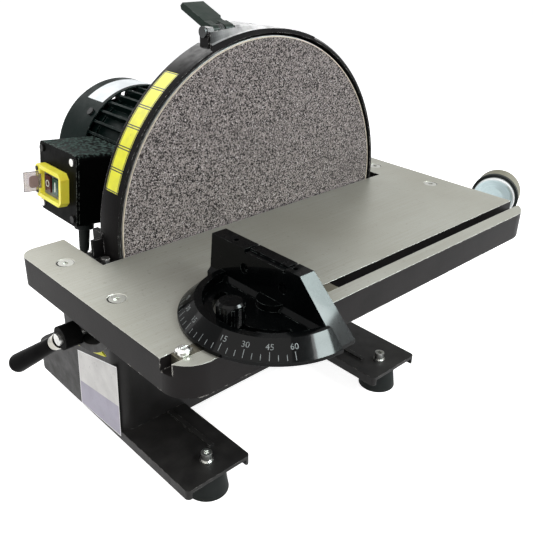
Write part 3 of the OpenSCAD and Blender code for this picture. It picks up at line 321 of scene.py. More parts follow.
route = [Vector(HANG[0])]
for i in range(1, len(HANG) - 2):
    route += [Vector(HANG[i]), halfway(HANG, i)]
route += [Vector(HANG[-2]), Vector(HANG[-1]), Vector((60, RUN_Y, LIE))]
route += [Vector(coil_point(i / COIL_STEPS)) for i in range(1, COIL_TURNS * COIL_STEPS)]
route += [Vector(p) for p in TAIL]
# The drawn solid is cut flat by the bench, the real cord lies on it with its whole radius
for p in route:
    p.z = max(p.z, FLOOR + CORD_D / 2)
route = [at(*p) for p in route]
print("points on the cord:", len(route))

# %% Cord


def tube(name, points, radius):
    """A round tube on a smooth curve through the points, in metres."""
    data = bpy.data.curves.new(name, "CURVE")
    data.dimensions = "3D"
    line = data.splines.new("BEZIER")
    line.bezier_points.add(len(points) - 1)
    for knot, place in zip(line.bezier_points, points):
        knot.co = place
        knot.radius = radius
        knot.handle_left_type = knot.handle_right_type = "AUTO"
    data.resolution_u = 3
    data.bevel_depth = 1.0
    data.bevel_resolution = 3
    data.use_fill_caps = True
    return linked(name, data)


mains_cord = tube("mains_cord", route, CORD_D / 2 * MM)
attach(mains_cord, "frame")
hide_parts("cord_run", "cord_coil")

# %% [markdown]
# A rubber wire tie goes twice round all six turns on the side away from the machine. Its points
# follow the heap of cords at one place, and each is a little further along, so that the second
# round lies beside the first.

# %% Tie round the coil
TIE_R = 1.3
TIE_UP = 0.9
TIE_FROM = -3.0
TIE_ALONG = 0.28
TIE_SHAPE = [(28, 1.6), (42, 1.5), (56, 1.6), (58.2, 4.5), (55.5, 11.5), (48, 16.0), (38, 16.2),
             (27, 15.6), (24, 11), (24.2, 5)]
tie_points = []
for out, up in TIE_SHAPE * 2:
    along = TIE_FROM + TIE_ALONG * len(tie_points)
    tie_points.append(at(COIL_AT[0] + along, COIL_AT[1] + out, FLOOR + up + TIE_UP))
cord_tie = tube("cord_tie", tie_points, TIE_R * MM)
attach(cord_tie, "frame")
print("points on the tie:", len(tie_points))

# %% [markdown]
# ## How a finish is made
# Each surface of the machine is one material: a Principled shader whose colour, roughness and
# bump come from noise on the Object coordinates, which are metres here. A few helpers carry most
# of the work, and the first of them only join nodes and numbers, so that the recipes below stay
# short enough to read.

# %% Shader and sockets


def start_finish(name, rough=0.5, metal=0.0, gloss=0.5):
    """A new material; gives the material, its node tree and its shader."""
    material = bpy.data.materials.new(name)
    material.use_nodes = True
    tree = material.node_tree
    tree.nodes.clear()
    out = tree.nodes.new("ShaderNodeOutputMaterial")
    shader = tree.nodes.new("ShaderNodeBsdfPrincipled")
    shader.inputs["Roughness"].default_value = rough
    shader.inputs["Metallic"].default_value = metal
    shader.inputs["Specular IOR Level"].default_value = gloss
    tree.links.new(shader.outputs[0], out.inputs["Surface"])
    return material, tree, shader


def put(tree, socket, value):
    """A number, a colour or a link into a socket."""
    if isinstance(value, bpy.types.NodeSocket):
        tree.links.new(value, socket)
    elif isinstance(value, (tuple, list)) and socket.type == "RGBA":
        socket.default_value = (*value[:3], 1)
    else:
        socket.default_value = value


def calc(tree, operation, first, second=0.0, third=0.0):
    """One step of arithmetic on links or numbers."""
    node = tree.nodes.new("ShaderNodeMath")
    node.operation = operation
    for socket, value in zip(node.inputs, (first, second, third)):
        put(tree, socket, value)
    return node.outputs[0]


def times(tree, first, second):
    return calc(tree, "MULTIPLY", first, second)


def plus(tree, first, second):
    return calc(tree, "ADD", first, second)


def from_half(tree, value):
    """How far a value is from one half, to either side."""
    return calc(tree, "ABSOLUTE", calc(tree, "SUBTRACT", value, 0.5))


def mixed(tree, amount, first, second):
    """From the first colour to the second as the amount goes from 0 to 1."""
    node = tree.nodes.new("ShaderNodeMix")
    node.data_type = "RGBA"
    put(tree, node.inputs[0], amount)
    put(tree, node.inputs[6], first)
    put(tree, node.inputs[7], second)
    return node.outputs[2]


def spread(tree, value, low, high, to_low=0.0, to_high=1.0):
    """Stretches the part of a value between low and high to a new range."""
    node = tree.nodes.new("ShaderNodeMapRange")
    for socket, number in zip(("From Min", "From Max", "To Min", "To Max"),
                              (low, high, to_low, to_high)):
        node.inputs[socket].default_value = number
    tree.links.new(value, node.inputs["Value"])
    return node.outputs[0]


def recolour(material, change):
    """Puts one more layer over the colour of a finish that is already made."""
    tree = material.node_tree
    shader = tree.nodes["Principled BSDF"]
    before = shader.inputs["Base Color"].links[0].from_socket
    put(tree, shader.inputs["Base Color"], change(tree, before))


print("sockets ready")

# %% [markdown]
# A pattern has to know where it is. Each one starts from a point of the drawing, and may be turned
# and stretched about it. Grain is noise at a given number of waves per metre, and patches is the
# same noise with its middle part stretched from 0 to 1, which turns soft clouds into spots.

# %% Patterns


def place_of(tree, centre=(0, 0, 0), turn=(0, 0, 0), stretch=(1, 1, 1)):
    """Object coordinates about a point of the drawing, turned and stretched."""
    coords = tree.nodes.new("ShaderNodeTexCoord")
    about = tree.nodes.new("ShaderNodeVectorMath")
    about.operation = "SUBTRACT"
    about.inputs[1].default_value = at(*centre)
    mapping = tree.nodes.new("ShaderNodeMapping")
    mapping.inputs["Rotation"].default_value = turn
    mapping.inputs["Scale"].default_value = stretch
    tree.links.new(coords.outputs["Object"], about.inputs[0])
    tree.links.new(about.outputs[0], mapping.inputs["Vector"])
    return mapping.outputs[0]


def parts_of(tree, vector):
    """The outputs X, Y and Z of a vector."""
    parts = tree.nodes.new("ShaderNodeSeparateXYZ")
    tree.links.new(vector, parts.inputs[0])
    return parts.outputs


def grain(tree, waves, detail=3.0, stretch=(1, 1, 1), rough=0.5):
    """Noise with so many waves per metre."""
    tex = tree.nodes.new("ShaderNodeTexNoise")
    tex.inputs["Scale"].default_value = waves
    tex.inputs["Detail"].default_value = detail
    tex.inputs["Roughness"].default_value = rough
    tree.links.new(place_of(tree, stretch=stretch), tex.inputs["Vector"])
    return tex.outputs["Fac"]


def patches(tree, waves, detail, low, high, to_low=0.0, to_high=1.0):
    """Grain, with the part between low and high stretched to a new range."""
    return spread(tree, grain(tree, waves, detail), low, high, to_low, to_high)


def cells(tree, waves):
    """The three colour parts of irregular cells, so many per metre."""
    tex = tree.nodes.new("ShaderNodeTexVoronoi")
    tex.inputs["Scale"].default_value = waves
    tree.links.new(place_of(tree), tex.inputs["Vector"])
    colours = tree.nodes.new("ShaderNodeSeparateColor")
    tree.links.new(tex.outputs["Color"], colours.inputs[0])
    return colours.outputs


def distance_from(tree, centre, along, turn=(0, 0, 0)):
    """How far, in metres, a place is from an axis through a point of the drawing."""
    length = tree.nodes.new("ShaderNodeVectorMath")
    length.operation = "LENGTH"
    flat = tuple(0.0 if k == "XYZ".index(along) else 1.0 for k in range(3))
    tree.links.new(place_of(tree, centre, turn, flat), length.inputs[0])
    return length.outputs["Value"]


print("patterns ready")

# %% [markdown]
# Paint wears off at the edges first and dust lies on what faces up. Edges compares the normal of a
# rounded edge with the true one, which differ only near an edge. Relief turns a value into bumps
# over the same rounded normal, so that no edge is razor sharp.

# %% Edges, faces and bumps


def rounded(tree, radius):
    """The normal of the shape as if its edges had this radius, in millimetres."""
    bevel = tree.nodes.new("ShaderNodeBevel")
    bevel.samples = 4
    bevel.inputs["Radius"].default_value = radius * MM
    return bevel.outputs[0]


def edges(tree, radius, low=0.06, high=0.30):
    """1 along the edges of a shape, 0 on its faces."""
    true = tree.nodes.new("ShaderNodeNewGeometry")
    same = tree.nodes.new("ShaderNodeVectorMath")
    same.operation = "DOT_PRODUCT"
    tree.links.new(rounded(tree, radius), same.inputs[0])
    tree.links.new(true.outputs["Normal"], same.inputs[1])
    return spread(tree, calc(tree, "SUBTRACT", 1.0, same.outputs["Value"]), low, high)


def facing_up(tree, low=0.5, high=0.95):
    """1 on faces that look up."""
    true = tree.nodes.new("ShaderNodeNewGeometry")
    return spread(tree, parts_of(tree, true.outputs["True Normal"])["Z"], low, high)


def relief(tree, shader, height, distance, strength=1.0, round_edges=0.6):
    """Bumps of that height, in millimetres, over slightly rounded edges."""
    bump = tree.nodes.new("ShaderNodeBump")
    bump.inputs["Distance"].default_value = distance * MM
    bump.inputs["Strength"].default_value = strength
    tree.links.new(height, bump.inputs["Height"])
    if round_edges:
        tree.links.new(rounded(tree, round_edges), bump.inputs["Normal"])
    tree.links.new(bump.outputs[0], shader.inputs["Normal"])


finished = set()


def wear(names, material):
    """Gives the drawn nodes this finish in all their slots."""
    for name in names.split():
        thing = nodes[name]
        if not thing.material_slots:
            thing.data.materials.append(material)
        for slot in thing.material_slots:
            slot.material = material
    finished.update(names.split())


print("helpers ready")

# %% [markdown]
# ## Painted castings and sheet
# The base, the guard, the trunnions and the motor are black with a little brown or green in it.
# On the real machine the paint is semi-gloss, slightly rippled, rubbed grey along the edges and
# dusty where it faces up. One recipe with a few numbers makes all of them: two scales of noise
# for the colour, one for the ripple, and bare or grey spots where the edge value is high.

# %% Recipe for paint


def painted(name, colour, worn, rough=0.42, ripple=0.05, ripple_waves=420, chips=0.45,
            chip_waves=160, edge=1.1, dust=0.25, dust_colour=(0.16, 0.155, 0.145),
            dust_waves=60, dust_from=0.38, dust_to=0.72, gloss=0.30, coat=0.0):
    """Semi-gloss paint: its colour, the colour of rubbed edges, how rough and rippled it is."""
    material, tree, shader = start_finish(name, gloss=gloss)
    shader.inputs["Coat Weight"].default_value = coat
    shader.inputs["Coat Roughness"].default_value = 0.06
    shader.inputs["Coat IOR"].default_value = 1.5
    fine = grain(tree, 700, 2)
    tone = mixed(tree, patches(tree, 22, 4, 0.3, 0.7), tuple(c * 0.72 for c in colour),
                 tuple(c * 1.25 for c in colour))
    tone = mixed(tree, spread(tree, fine, 0.55, 0.8, 0, 0.22), tone,
                 tuple(c * 2.0 + 0.004 for c in colour))
    film = times(tree, facing_up(tree), patches(tree, dust_waves, 5, dust_from, dust_to, 0, dust))
    tone = mixed(tree, film, tone, dust_colour)
    rub = times(tree, edges(tree, edge), patches(tree, chip_waves, 4, 0.46, 0.62))
    put(tree, shader.inputs["Base Color"], mixed(tree, times(tree, rub, chips), tone, worn))
    put(tree, shader.inputs["Roughness"],
        plus(tree, patches(tree, 90, 4, 0.3, 0.7, rough - 0.08, rough + 0.10),
             times(tree, film, 0.5)))
    relief(tree, shader, plus(tree, grain(tree, ripple_waves, 3), times(tree, fine, 0.35)), ripple)
    return material


print("paint recipe ready")

# %% Painted pieces
black_casting = painted("black_casting", (0.0140, 0.0134, 0.0132), (0.36, 0.35, 0.33), rough=0.44,
                        ripple=0.07, ripple_waves=260, chips=0.6, dust=0.06, gloss=0.14)
# On the guard the pale chips along the edges are partly rubbed paint and partly painted highlight,
# small glints of light along the rim.
guard_paint = painted("guard_paint", (0.0065, 0.0060, 0.0062), (0.62, 0.61, 0.60), rough=0.36,
                      ripple_waves=380, chips=0.95, chip_waves=420, edge=0.8, dust=0.08,
                      gloss=0.06)
motor_paint = painted("motor_paint", (0.0018, 0.0062, 0.0054), (0.22, 0.26, 0.25), rough=0.40,
                      ripple=0.08, ripple_waves=360, chips=0.6, dust=0.03,
                      dust_colour=(0.06, 0.08, 0.075), gloss=0.04)
lever_paint = painted("lever_paint", (0.014, 0.024, 0.019), (0.30, 0.31, 0.30), rough=0.34,
                      chips=0.5, dust=0.12, gloss=0.08)
gloss_black = painted("gloss_black", (0.0008, 0.0011, 0.0012), (0.40, 0.46, 0.44), rough=0.22,
                      ripple=0.02, ripple_waves=160, chips=0.35, edge=0.45, dust=0.0,
                      dust_colour=(0.10, 0.11, 0.10), gloss=0.02, coat=0.16)
wear("base lower_cover dust_chute trunnion_left trunnion_right", black_casting)
wear("motor_front_bell motor_rear_bell motor_frame fan_cover", motor_paint)
wear("brake_lever", lever_paint)
wear("mitre_head mitre_knob", gloss_black)
print("painted pieces:", len(finished))

# %% [markdown]
# ## The pad on top of the guard
# In the photograph the pad rises over the guard only round the brake lever and runs out into the
# arch towards the middle, with a sloping front and a pale top where light from above falls; that
# highlight is painted into the colour of the guard further down. The drawn pad is a plain block.
# The look has a copy of the guard with the surplus cut away: the cutter is a sheet of points whose
# height is wanted there, closed to a solid above. A height for every place is easier to shape, and
# to change, than planes at several angles. The drawn mesh is split along its sharp edges, so the
# copy is merged to one closed shell before it is cut.

# %% Height of the guard's top
GUARD_R = 158.5
JUST_PROUD = 0.03
PAD_TOP = 170.0
PAD_SPARE = 0.2
RUN_OUT_FROM, RUN_OUT_LONG = -20.0, 38.0
FRONT_FROM, FRONT_LONG = -1.0, 4.5
FRONT_LOW = 0.12


def arch(x):
    """Height of the outside of the guard, just proud of it."""
    return SPINDLE_UP + math.sqrt((GUARD_R + JUST_PROUD) ** 2 - x * x)


def pad_height(x, y):
    """Height of the guard's top: the pad at the left, the arch further right."""
    runs_out = ease((x - RUN_OUT_FROM) / RUN_OUT_LONG)
    sloping = min(max((y - FRONT_FROM) / FRONT_LONG, 0.0), 1.0)
    front = FRONT_LOW + (1 - FRONT_LOW) * sloping
    return arch(x) + (PAD_TOP + PAD_SPARE - arch(x)) * (1 - runs_out) * front


print("top of the pad over the arch, mm:", round(PAD_TOP - arch(-40), 1))

# %% Cutter for the surplus
CUT_X, CUT_WIDE = -61.5, 125.0
CUT_Y, CUT_DEEP = -4.0, 46.0
CLOSER_IN_FRONT = 1.6
CUT_TOP = 195.0
cut = bmesh.new()
bmesh.ops.create_grid(cut, x_segments=62, y_segments=24, size=0.5)
for vert in cut.verts:
    x = CUT_X + CUT_WIDE * (vert.co.x + 0.5)
    y = CUT_Y + CUT_DEEP * (vert.co.y + 0.5) ** CLOSER_IN_FRONT
    vert.co = at(x, y, pad_height(x, y))
above = bmesh.ops.extrude_face_region(cut, geom=cut.faces[:])
for item in above["geom"]:
    if isinstance(item, bmesh.types.BMVert):
        item.co.z = at(0, 0, CUT_TOP).z
bmesh.ops.recalc_face_normals(cut, faces=cut.faces)
surplus = linked("surplus", mesh_from(cut, "surplus"))
print("cutter faces:", len(surplus.data.polygons))

# %% Guard with a pad that runs out
SAME_POINT = 0.001
shell = bmesh.new()
shell.from_mesh(nodes["guard"].data)
bmesh.ops.remove_doubles(shell, verts=shell.verts, dist=SAME_POINT * MM)
guard_form = linked("guard_form", mesh_from(shell, "guard_form"))
carve = guard_form.modifiers.new("pad runs out", "BOOLEAN")
carve.operation = "DIFFERENCE"
carve.object = surplus
carve.solver = "EXACT"
evaluated = guard_form.evaluated_get(bpy.context.evaluated_depsgraph_get())
shaped = bpy.data.meshes.new_from_object(evaluated)
guard_form.modifiers.clear()
guard_form.data = shaped
bpy.data.objects.remove(surplus)
shaped.materials.clear()
shaped.materials.append(guard_paint)
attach(guard_form, "frame")
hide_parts("guard")
finished.add("guard")
print("guard faces:", len(nodes["guard"].data.polygons), "cut to", len(shaped.polygons))

# %% [markdown]
# The pale top of the arch is a painted highlight: light from above, laid into the colour of the
# paint. The layer grows with the height of the place, is kept to faces that look up, and is broken
# up by noise.

# %% Painted highlight on the top of the arch
HIGHLIGHT_FROM, HIGHLIGHT_FULL = 0.1300, 0.1645


# Painted highlight: pale grey laid over the top of the arch, where light from above falls.
def rubbed_top(tree, before):
    highlight = spread(tree, parts_of(tree, place_of(tree))["Z"], HIGHLIGHT_FROM, HIGHLIGHT_FULL)
    highlight = times(tree, calc(tree, "POWER", highlight, 2.6), facing_up(tree, 0.30, 0.80))
    highlight = times(tree, highlight, patches(tree, 130, 5, 0.30, 0.55, 0.50, 0.97))
    return mixed(tree, highlight, before, (0.66, 0.66, 0.66))


recolour(guard_paint, rubbed_top)
print("pale from", HIGHLIGHT_FROM * 1000, "mm over the table")

# %% [markdown]
# ## The ground table
# The top of the table is bare cast iron, ground along its length: beige-grey, with very fine
# streaks, a few darker stains and a brighter line where the edge was broken. Its sides, slot and
# underside are painted. One material does both: the height of the place and the way it faces
# decide between metal and paint, because both belong to one casting.

# %% Iron
table_finish, tree, shader = start_finish("ground_iron_and_paint", gloss=0.07)
UNDER_TOP = -0.0004
on_top = calc(tree, "GREATER_THAN", parts_of(tree, place_of(tree))["Z"], UNDER_TOP)
top = times(tree, on_top, facing_up(tree, 0.5, 0.6))
streaks = grain(tree, 6, 5, (1.0, 260.0, 1.0), 0.65)
hair = grain(tree, 14, 3, (1.0, 420.0, 1.0), 0.7)
iron = mixed(tree, spread(tree, streaks, 0.3, 0.7), (0.285, 0.282, 0.238), (0.385, 0.385, 0.350))
iron = mixed(tree, spread(tree, hair, 0.45, 0.75, 0, 0.45), iron, (0.48, 0.48, 0.46))
iron = mixed(tree, patches(tree, 7, 4, 0.40, 0.75, 0, 0.40), iron, (0.195, 0.182, 0.135))
iron = mixed(tree, patches(tree, 260, 4, 0.62, 0.75, 0, 0.35), iron, (0.15, 0.13, 0.105))
iron = mixed(tree, times(tree, edges(tree, 0.9, 0.05, 0.2), 0.7), iron, (0.80, 0.80, 0.76))
print("iron mixed")

# %% Paint on the sides, and both together
PAINT_ROUGH = 0.46
paint = mixed(tree, patches(tree, 30, 4, 0.3, 0.7),
              (0.0060, 0.0052, 0.0052), (0.0115, 0.0102, 0.0102))
chip = times(tree, edges(tree, 1.6),
             spread(tree, grain(tree, 110, 5, rough=0.65), 0.53, 0.60))
paint = mixed(tree, times(tree, chip, 0.9), paint, (0.60, 0.59, 0.55))
put(tree, shader.inputs["Base Color"], mixed(tree, top, paint, iron))
put(tree, shader.inputs["Metallic"], times(tree, top, 0.75))
put(tree, shader.inputs["Roughness"],
    plus(tree, times(tree, top, spread(tree, streaks, 0.3, 0.7, 0.36, 0.50)),
         times(tree, calc(tree, "SUBTRACT", 1.0, top), PAINT_ROUGH)))
relief(tree, shader, plus(tree, times(tree, streaks, 0.35), grain(tree, 300, 3)), 0.05)
wear("table", table_finish)
print("table finished")

# %% [markdown]
# ## Abrasive disc
# Coated abrasive is grit in resin on cloth: grey grains of about a millimetre as the photograph
# shows them, some bright, some dark, and a pale rim where the cloth shows at the cut edge. Cells
# give every grain its own grey, smaller cells break it up, and both lift the surface.

# %% Abrasive
RIM_FROM = 0.1512
abrasive, tree, shader = start_finish("abrasive", 0.86, gloss=0.12)
grit, small = cells(tree, 1150), cells(tree, 2500)
tone = plus(tree, times(tree, grit[0], 0.68), times(tree, small[1], 0.32))
grey = mixed(tree, spread(tree, tone, 0.41, 0.61), (0.002, 0.0017, 0.0017), (0.290, 0.258, 0.250))
grey = mixed(tree, patches(tree, 14, 3, 0.35, 0.7, 0, 0.25), grey, (0.13, 0.115, 0.115))
sparkle = times(tree, calc(tree, "GREATER_THAN", grit[2], 0.95), 0.55)
grey = mixed(tree, sparkle, grey, (0.62, 0.58, 0.58))
rim = calc(tree, "GREATER_THAN", distance_from(tree, (0, 0, SPINDLE_UP), "Y"), RIM_FROM)
put(tree, shader.inputs["Base Color"], mixed(tree, rim, grey, (0.62, 0.55, 0.44)))
relief(tree, shader, tone, 0.5, strength=0.9, round_edges=0)
wear("abrasive_disc", abrasive)
print("abrasive finished")

# %% [markdown]
# ## Bright and bare metal
# Screws, collars, shaft and the mitre bar are turned or plated steel. Bare metal is a coloured
# mirror that is not quite smooth, so its look comes from roughness: fine scratches, a few dull
# patches, and darker dirt in the corners.

# %% Recipe for metal


def metal(name, colour, rough=0.28, dull=None, dulled=0.8, waves=500, stretch=(1, 1, 1),
          scratch=0.02, edge_tone=None):
    """Bare or plated metal with a second, duller tone."""
    material, tree, shader = start_finish(name, metal=1.0)
    dull = dull or tuple(c * 0.55 for c in colour)
    patch = grain(tree, 120, 5)
    lines = grain(tree, waves, 3, stretch)
    tone = mixed(tree, spread(tree, patch, 0.42, 0.72, 0, dulled), colour, dull)
    tone = mixed(tree, times(tree, edges(tree, 0.5), 0.9 if edge_tone else 0.5), tone,
                 edge_tone or tuple(min(1, c * 1.3) for c in colour))
    put(tree, shader.inputs["Base Color"], tone)
    put(tree, shader.inputs["Roughness"],
        plus(tree, spread(tree, patch, 0.3, 0.8, rough - 0.07, rough + 0.14),
             spread(tree, lines, 0.3, 0.7, -0.04, 0.06)))
    relief(tree, shader, lines, scratch, round_edges=0.3)
    return material


print("metal recipe ready")

# %% Metals
bright_steel = metal("bright_steel", (0.56, 0.56, 0.54), 0.27, dulled=0.6)
bar_steel = metal("bar_steel", (0.14, 0.13, 0.10), 0.42, dulled=0.5)
screw_steel = metal("screw_steel", (0.47, 0.47, 0.44), 0.34, dulled=0.25,
                    edge_tone=(0.05, 0.045, 0.04))
lid_steel = metal("lid_screw_steel", (0.74, 0.73, 0.71), 0.27, dulled=0.3)
dark_steel = metal("dark_steel", (0.30, 0.29, 0.28), 0.38)
phosphated = metal("phosphated", (0.060, 0.062, 0.062), 0.42)
plated = metal("plated", (0.34, 0.33, 0.29), 0.20, (0.05, 0.05, 0.045), dulled=1.0)
cast_alloy = metal("cast_alloy", (0.46, 0.46, 0.46), 0.45, waves=900, scratch=0.06)
copper = metal("copper_wire", (0.55, 0.22, 0.08), 0.35, (0.30, 0.10, 0.04), waves=900,
               stretch=(1, 0.12, 1), scratch=0.25)
sheet_stack = metal("sheet_stack", (0.28, 0.28, 0.30), 0.42, waves=60, stretch=(0.05, 40, 0.05),
                    scratch=0.12)
brass = metal("brass", (0.72, 0.52, 0.25), 0.25)
wear("table_screws", screw_steel)
wear("mitre_bar", bar_steel)
wear("foot_bolts bar_screw bar_pointer lock_studs motor_shaft bearings", bright_steel)
wear("small_screws", lid_steel)
wear("housing_screws hub_screws", dark_steel)
wear("brake_pin brake_spring", phosphated)
wear("lock_collar_left lock_collar_right", plated)
wear("disc_plate disc_hub rotor", cast_alloy)
wear("windings", copper)
wear("stator", sheet_stack)
wear("plug_pins", brass)
print("metal pieces done, finished so far:", len(finished))

# %% [markdown]
# Dirt settles in the ring round each of the four countersunk heads in the table. The heads lie at
# the corners of a rectangle, so the absolute values of x and y fold all four onto one, and the
# distance from its middle tells head from ring.

# %% Dirt round the table screws
SCREWS_AT = (0, -17, 0)
SCREW_ASIDE, SCREW_AHEAD = 0.192, 0.038
DIRTY_FROM = 0.86
head = (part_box("table_screws")[1][0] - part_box("table_screws")[0][0]) / 2 - SCREW_ASIDE


def dirty_ring(tree, before):
    where = parts_of(tree, place_of(tree, SCREWS_AT))
    aside = calc(tree, "SUBTRACT", calc(tree, "ABSOLUTE", where["X"]), SCREW_ASIDE)
    ahead = calc(tree, "SUBTRACT", calc(tree, "ABSOLUTE", where["Y"]), SCREW_AHEAD)
    squares = plus(tree, calc(tree, "POWER", aside, 2.0), calc(tree, "POWER", ahead, 2.0))
    ring = calc(tree, "GREATER_THAN", calc(tree, "SQRT", squares), head * DIRTY_FROM)
    return mixed(tree, ring, before, (0.012, 0.011, 0.010))


recolour(screw_steel, dirty_ring)
print("countersunk head, mm across:", round(head * 2000, 1))

# %% [markdown]
# Two of the four lid screws of the switch box are black in the photograph, in opposite corners,
# and so are the screws of the fan cover. All of them are one node, so the material tells them
# apart by place: the product of two sides is positive in two opposite corners only.

# %% Black screws among the small ones
LID_MIDDLE = (-126, 157, 0)
LID_INWARD = 0.02
BEHIND_LID = 0.04


def black_screws(tree, before):
    where = parts_of(tree, place_of(tree, LID_MIDDLE))
    on_lid = calc(tree, "LESS_THAN", where["X"], LID_INWARD)
    corner = calc(tree, "GREATER_THAN", times(tree, where["Y"], where["Z"]), 0.0)
    on_cover = calc(tree, "GREATER_THAN", where["Y"], BEHIND_LID)
    dark = calc(tree, "MAXIMUM", times(tree, on_lid, corner), on_cover)
    shader = tree.nodes["Principled BSDF"]
    put(tree, shader.inputs["Metallic"], calc(tree, "SUBTRACT", 1.0, dark))
    shader.inputs["Specular IOR Level"].default_value = 0.1
    return mixed(tree, dark, before, (0.010, 0.010, 0.010))


recolour(lid_steel, black_screws)
print("small screws sorted")

# %% [markdown]
# ## Rubber and plastics
# Rubber is dull and a little greenish-grey with dust. The grips and hubs are moulded in a black
# plastic that shines softly. The switch has a yellow bezel, a green and a red button and a clear
# flap. Moulded plastic has a fine spark-eroded texture, a little wear at the corners, and gets
# paler where hands touch it.

# %% Recipe for rubber and plastic


def moulded(name, colour, rough=0.4, pale=0.25, texture=0.03, waves=900, edge_tone=None,
            coat=0.0, gloss=0.12):
    """Moulded plastic or rubber with pale rubbed places."""
    material, tree, shader = start_finish(name, gloss=gloss)
    shader.inputs["Coat Weight"].default_value = coat
    shader.inputs["Coat Roughness"].default_value = 0.12
    soft = tuple(min(1.0, c * 1.4 + 0.003) for c in colour)
    tone = mixed(tree, patches(tree, 40, 5, 0.35, 0.75), colour, soft)
    tone = mixed(tree, patches(tree, 300, 3, 0.5, 0.8, 0, pale), tone,
                 tuple(c * 0.6 + 0.006 for c in colour))
    rub = times(tree, edges(tree, 0.8), patches(tree, 200, 3, 0.35, 0.6, 0.1, 0.6))
    tone = mixed(tree, rub, tone, edge_tone or tuple(min(1.0, c * 1.5 + 0.05) for c in colour))
    put(tree, shader.inputs["Base Color"], tone)
    put(tree, shader.inputs["Roughness"],
        patches(tree, 70, 4, 0.3, 0.7, rough - 0.07, rough + 0.1))
    relief(tree, shader, grain(tree, waves, 2), texture)
    return material


print("plastic recipe ready")

# %% Rubber and plastic pieces
rubber = moulded("rubber", (0.0050, 0.0066, 0.0062), 0.62, 0.35, 0.10, 600)
black_plastic = moulded("black_plastic", (0.0012, 0.0012, 0.0012), 0.32, 0.1,
                        edge_tone=(0.005, 0.005, 0.005), gloss=0.008)
cord_rubber = moulded("cord_rubber", (0.006, 0.006, 0.0065), 0.5, waves=1200)
grey_plastic = moulded("grey_plastic", (0.16, 0.16, 0.165), 0.45)
bezel_yellow = moulded("bezel_yellow", (0.93, 0.79, 0.066), 0.32, 0.15,
                       edge_tone=(0.85, 0.76, 0.30), coat=0.3)
button_green = moulded("button_green", (0.012, 0.052, 0.034), 0.28, 0.2, 0.02, coat=0.3)
button_red = moulded("button_red", (0.050, 0.007, 0.007), 0.28, 0.2, 0.02, coat=0.3)
capacitor_can = moulded("capacitor_can", (0.50, 0.50, 0.49), 0.35)
friction = moulded("friction_pad", (0.075, 0.055, 0.042), 0.85, 0.6, 0.25, 500)
pointer_finish = moulded("pointer_yellow", (0.62, 0.60, 0.06), 0.4, 0.3, waves=700,
                         edge_tone=(0.75, 0.75, 0.35))
wear("rubber_feet cap_seal cord_gland plug", rubber)
wear("lock_grip_left lock_grip_right lock_hub_left lock_hub_right fan", black_plastic)
wear("switch_bezel", bezel_yellow)
wear("start_button", button_green)
wear("stop_button", button_red)
wear("switch_block", grey_plastic)
wear("capacitor", capacitor_can)
wear("brake_pad", friction)
wear("tilt_pointer", pointer_finish)
for thing in (mains_cord, cord_tie):
    thing.data.materials.append(cord_rubber)
print("finished so far:", len(finished))

# %% [markdown]
# ## The switch box
# The box is black with a top that hands and dust have turned greenish grey, and a chipped edge.
# Its clear flap is scratched and darker along its border, where the light has more plastic to
# pass. The border comes from the edge value, which also takes the light away from the glass.

# %% Box and clear flap
box_finish = painted("box_finish", (0.0016, 0.0018, 0.0017), (0.30, 0.34, 0.31), rough=0.40,
                     chips=0.9, chip_waves=330, edge=1.3, dust=1.0,
                     dust_colour=(0.064, 0.095, 0.085), dust_waves=330, dust_from=0.46,
                     dust_to=0.58, gloss=0.02)
wear("switch_box box_lid", box_finish)

clear, tree, shader = start_finish("clear_flap", 0.10, gloss=0.3)
shader.inputs["IOR"].default_value = 1.45
pane = mixed(tree, patches(tree, 120, 4, 0.3, 0.8), (0.60, 0.56, 0.56), (0.42, 0.37, 0.37))
border = edges(tree, 1.4, 0.04, 0.16)
put(tree, shader.inputs["Base Color"], mixed(tree, border, pane, (0.07, 0.06, 0.06)))
put(tree, shader.inputs["Transmission Weight"], spread(tree, border, 0, 1, 0.72, 0.10))
put(tree, shader.inputs["Roughness"], patches(tree, 300, 4, 0.4, 0.75, 0.06, 0.22))
relief(tree, shader, grain(tree, 200, 2), 0.02, round_edges=0.4)
wear("stop_flap", clear)
print("finished so far:", len(finished))

# %% [markdown]
# ## The dust outlet
# The cap that closes the outlet is a dished disc of pale blue-white plated sheet with a rolled
# white rim; brushing in rings gives it one bright streak from the middle outwards. The duct
# behind it is olive, and a paler olive-beige on the faces that look up.

# %% Outlet cap and duct
OUTLET = (320, -63, -44)
OUTLET_TURN = math.radians(20)
RING_WAVES = 2600
cap_finish, tree, shader = start_finish("brushed_cap", 0.3, 0.35)
out = distance_from(tree, OUTLET, "X", (0, 0, -OUTLET_TURN))
noise_rings = tree.nodes.new("ShaderNodeTexNoise")
noise_rings.noise_dimensions = "1D"
noise_rings.inputs["Scale"].default_value = RING_WAVES
noise_rings.inputs["Detail"].default_value = 3
tree.links.new(out, noise_rings.inputs["W"])
rings = noise_rings.outputs["Fac"]
cap_tone = mixed(tree, spread(tree, rings, 0.3, 0.7), (0.37, 0.50, 0.52), (0.55, 0.63, 0.65))
cap_tone = mixed(tree, spread(tree, out, 0.0205, 0.0225), cap_tone, (0.74, 0.76, 0.76))
cap_tone = mixed(tree, patches(tree, 90, 4, 0.5, 0.8, 0, 0.3), cap_tone, (0.36, 0.42, 0.42))
put(tree, shader.inputs["Base Color"], cap_tone)
put(tree, shader.inputs["Roughness"], spread(tree, rings, 0.3, 0.7, 0.20, 0.34))
relief(tree, shader, rings, 0.03, round_edges=0.4)
wear("dust_cap", cap_finish)
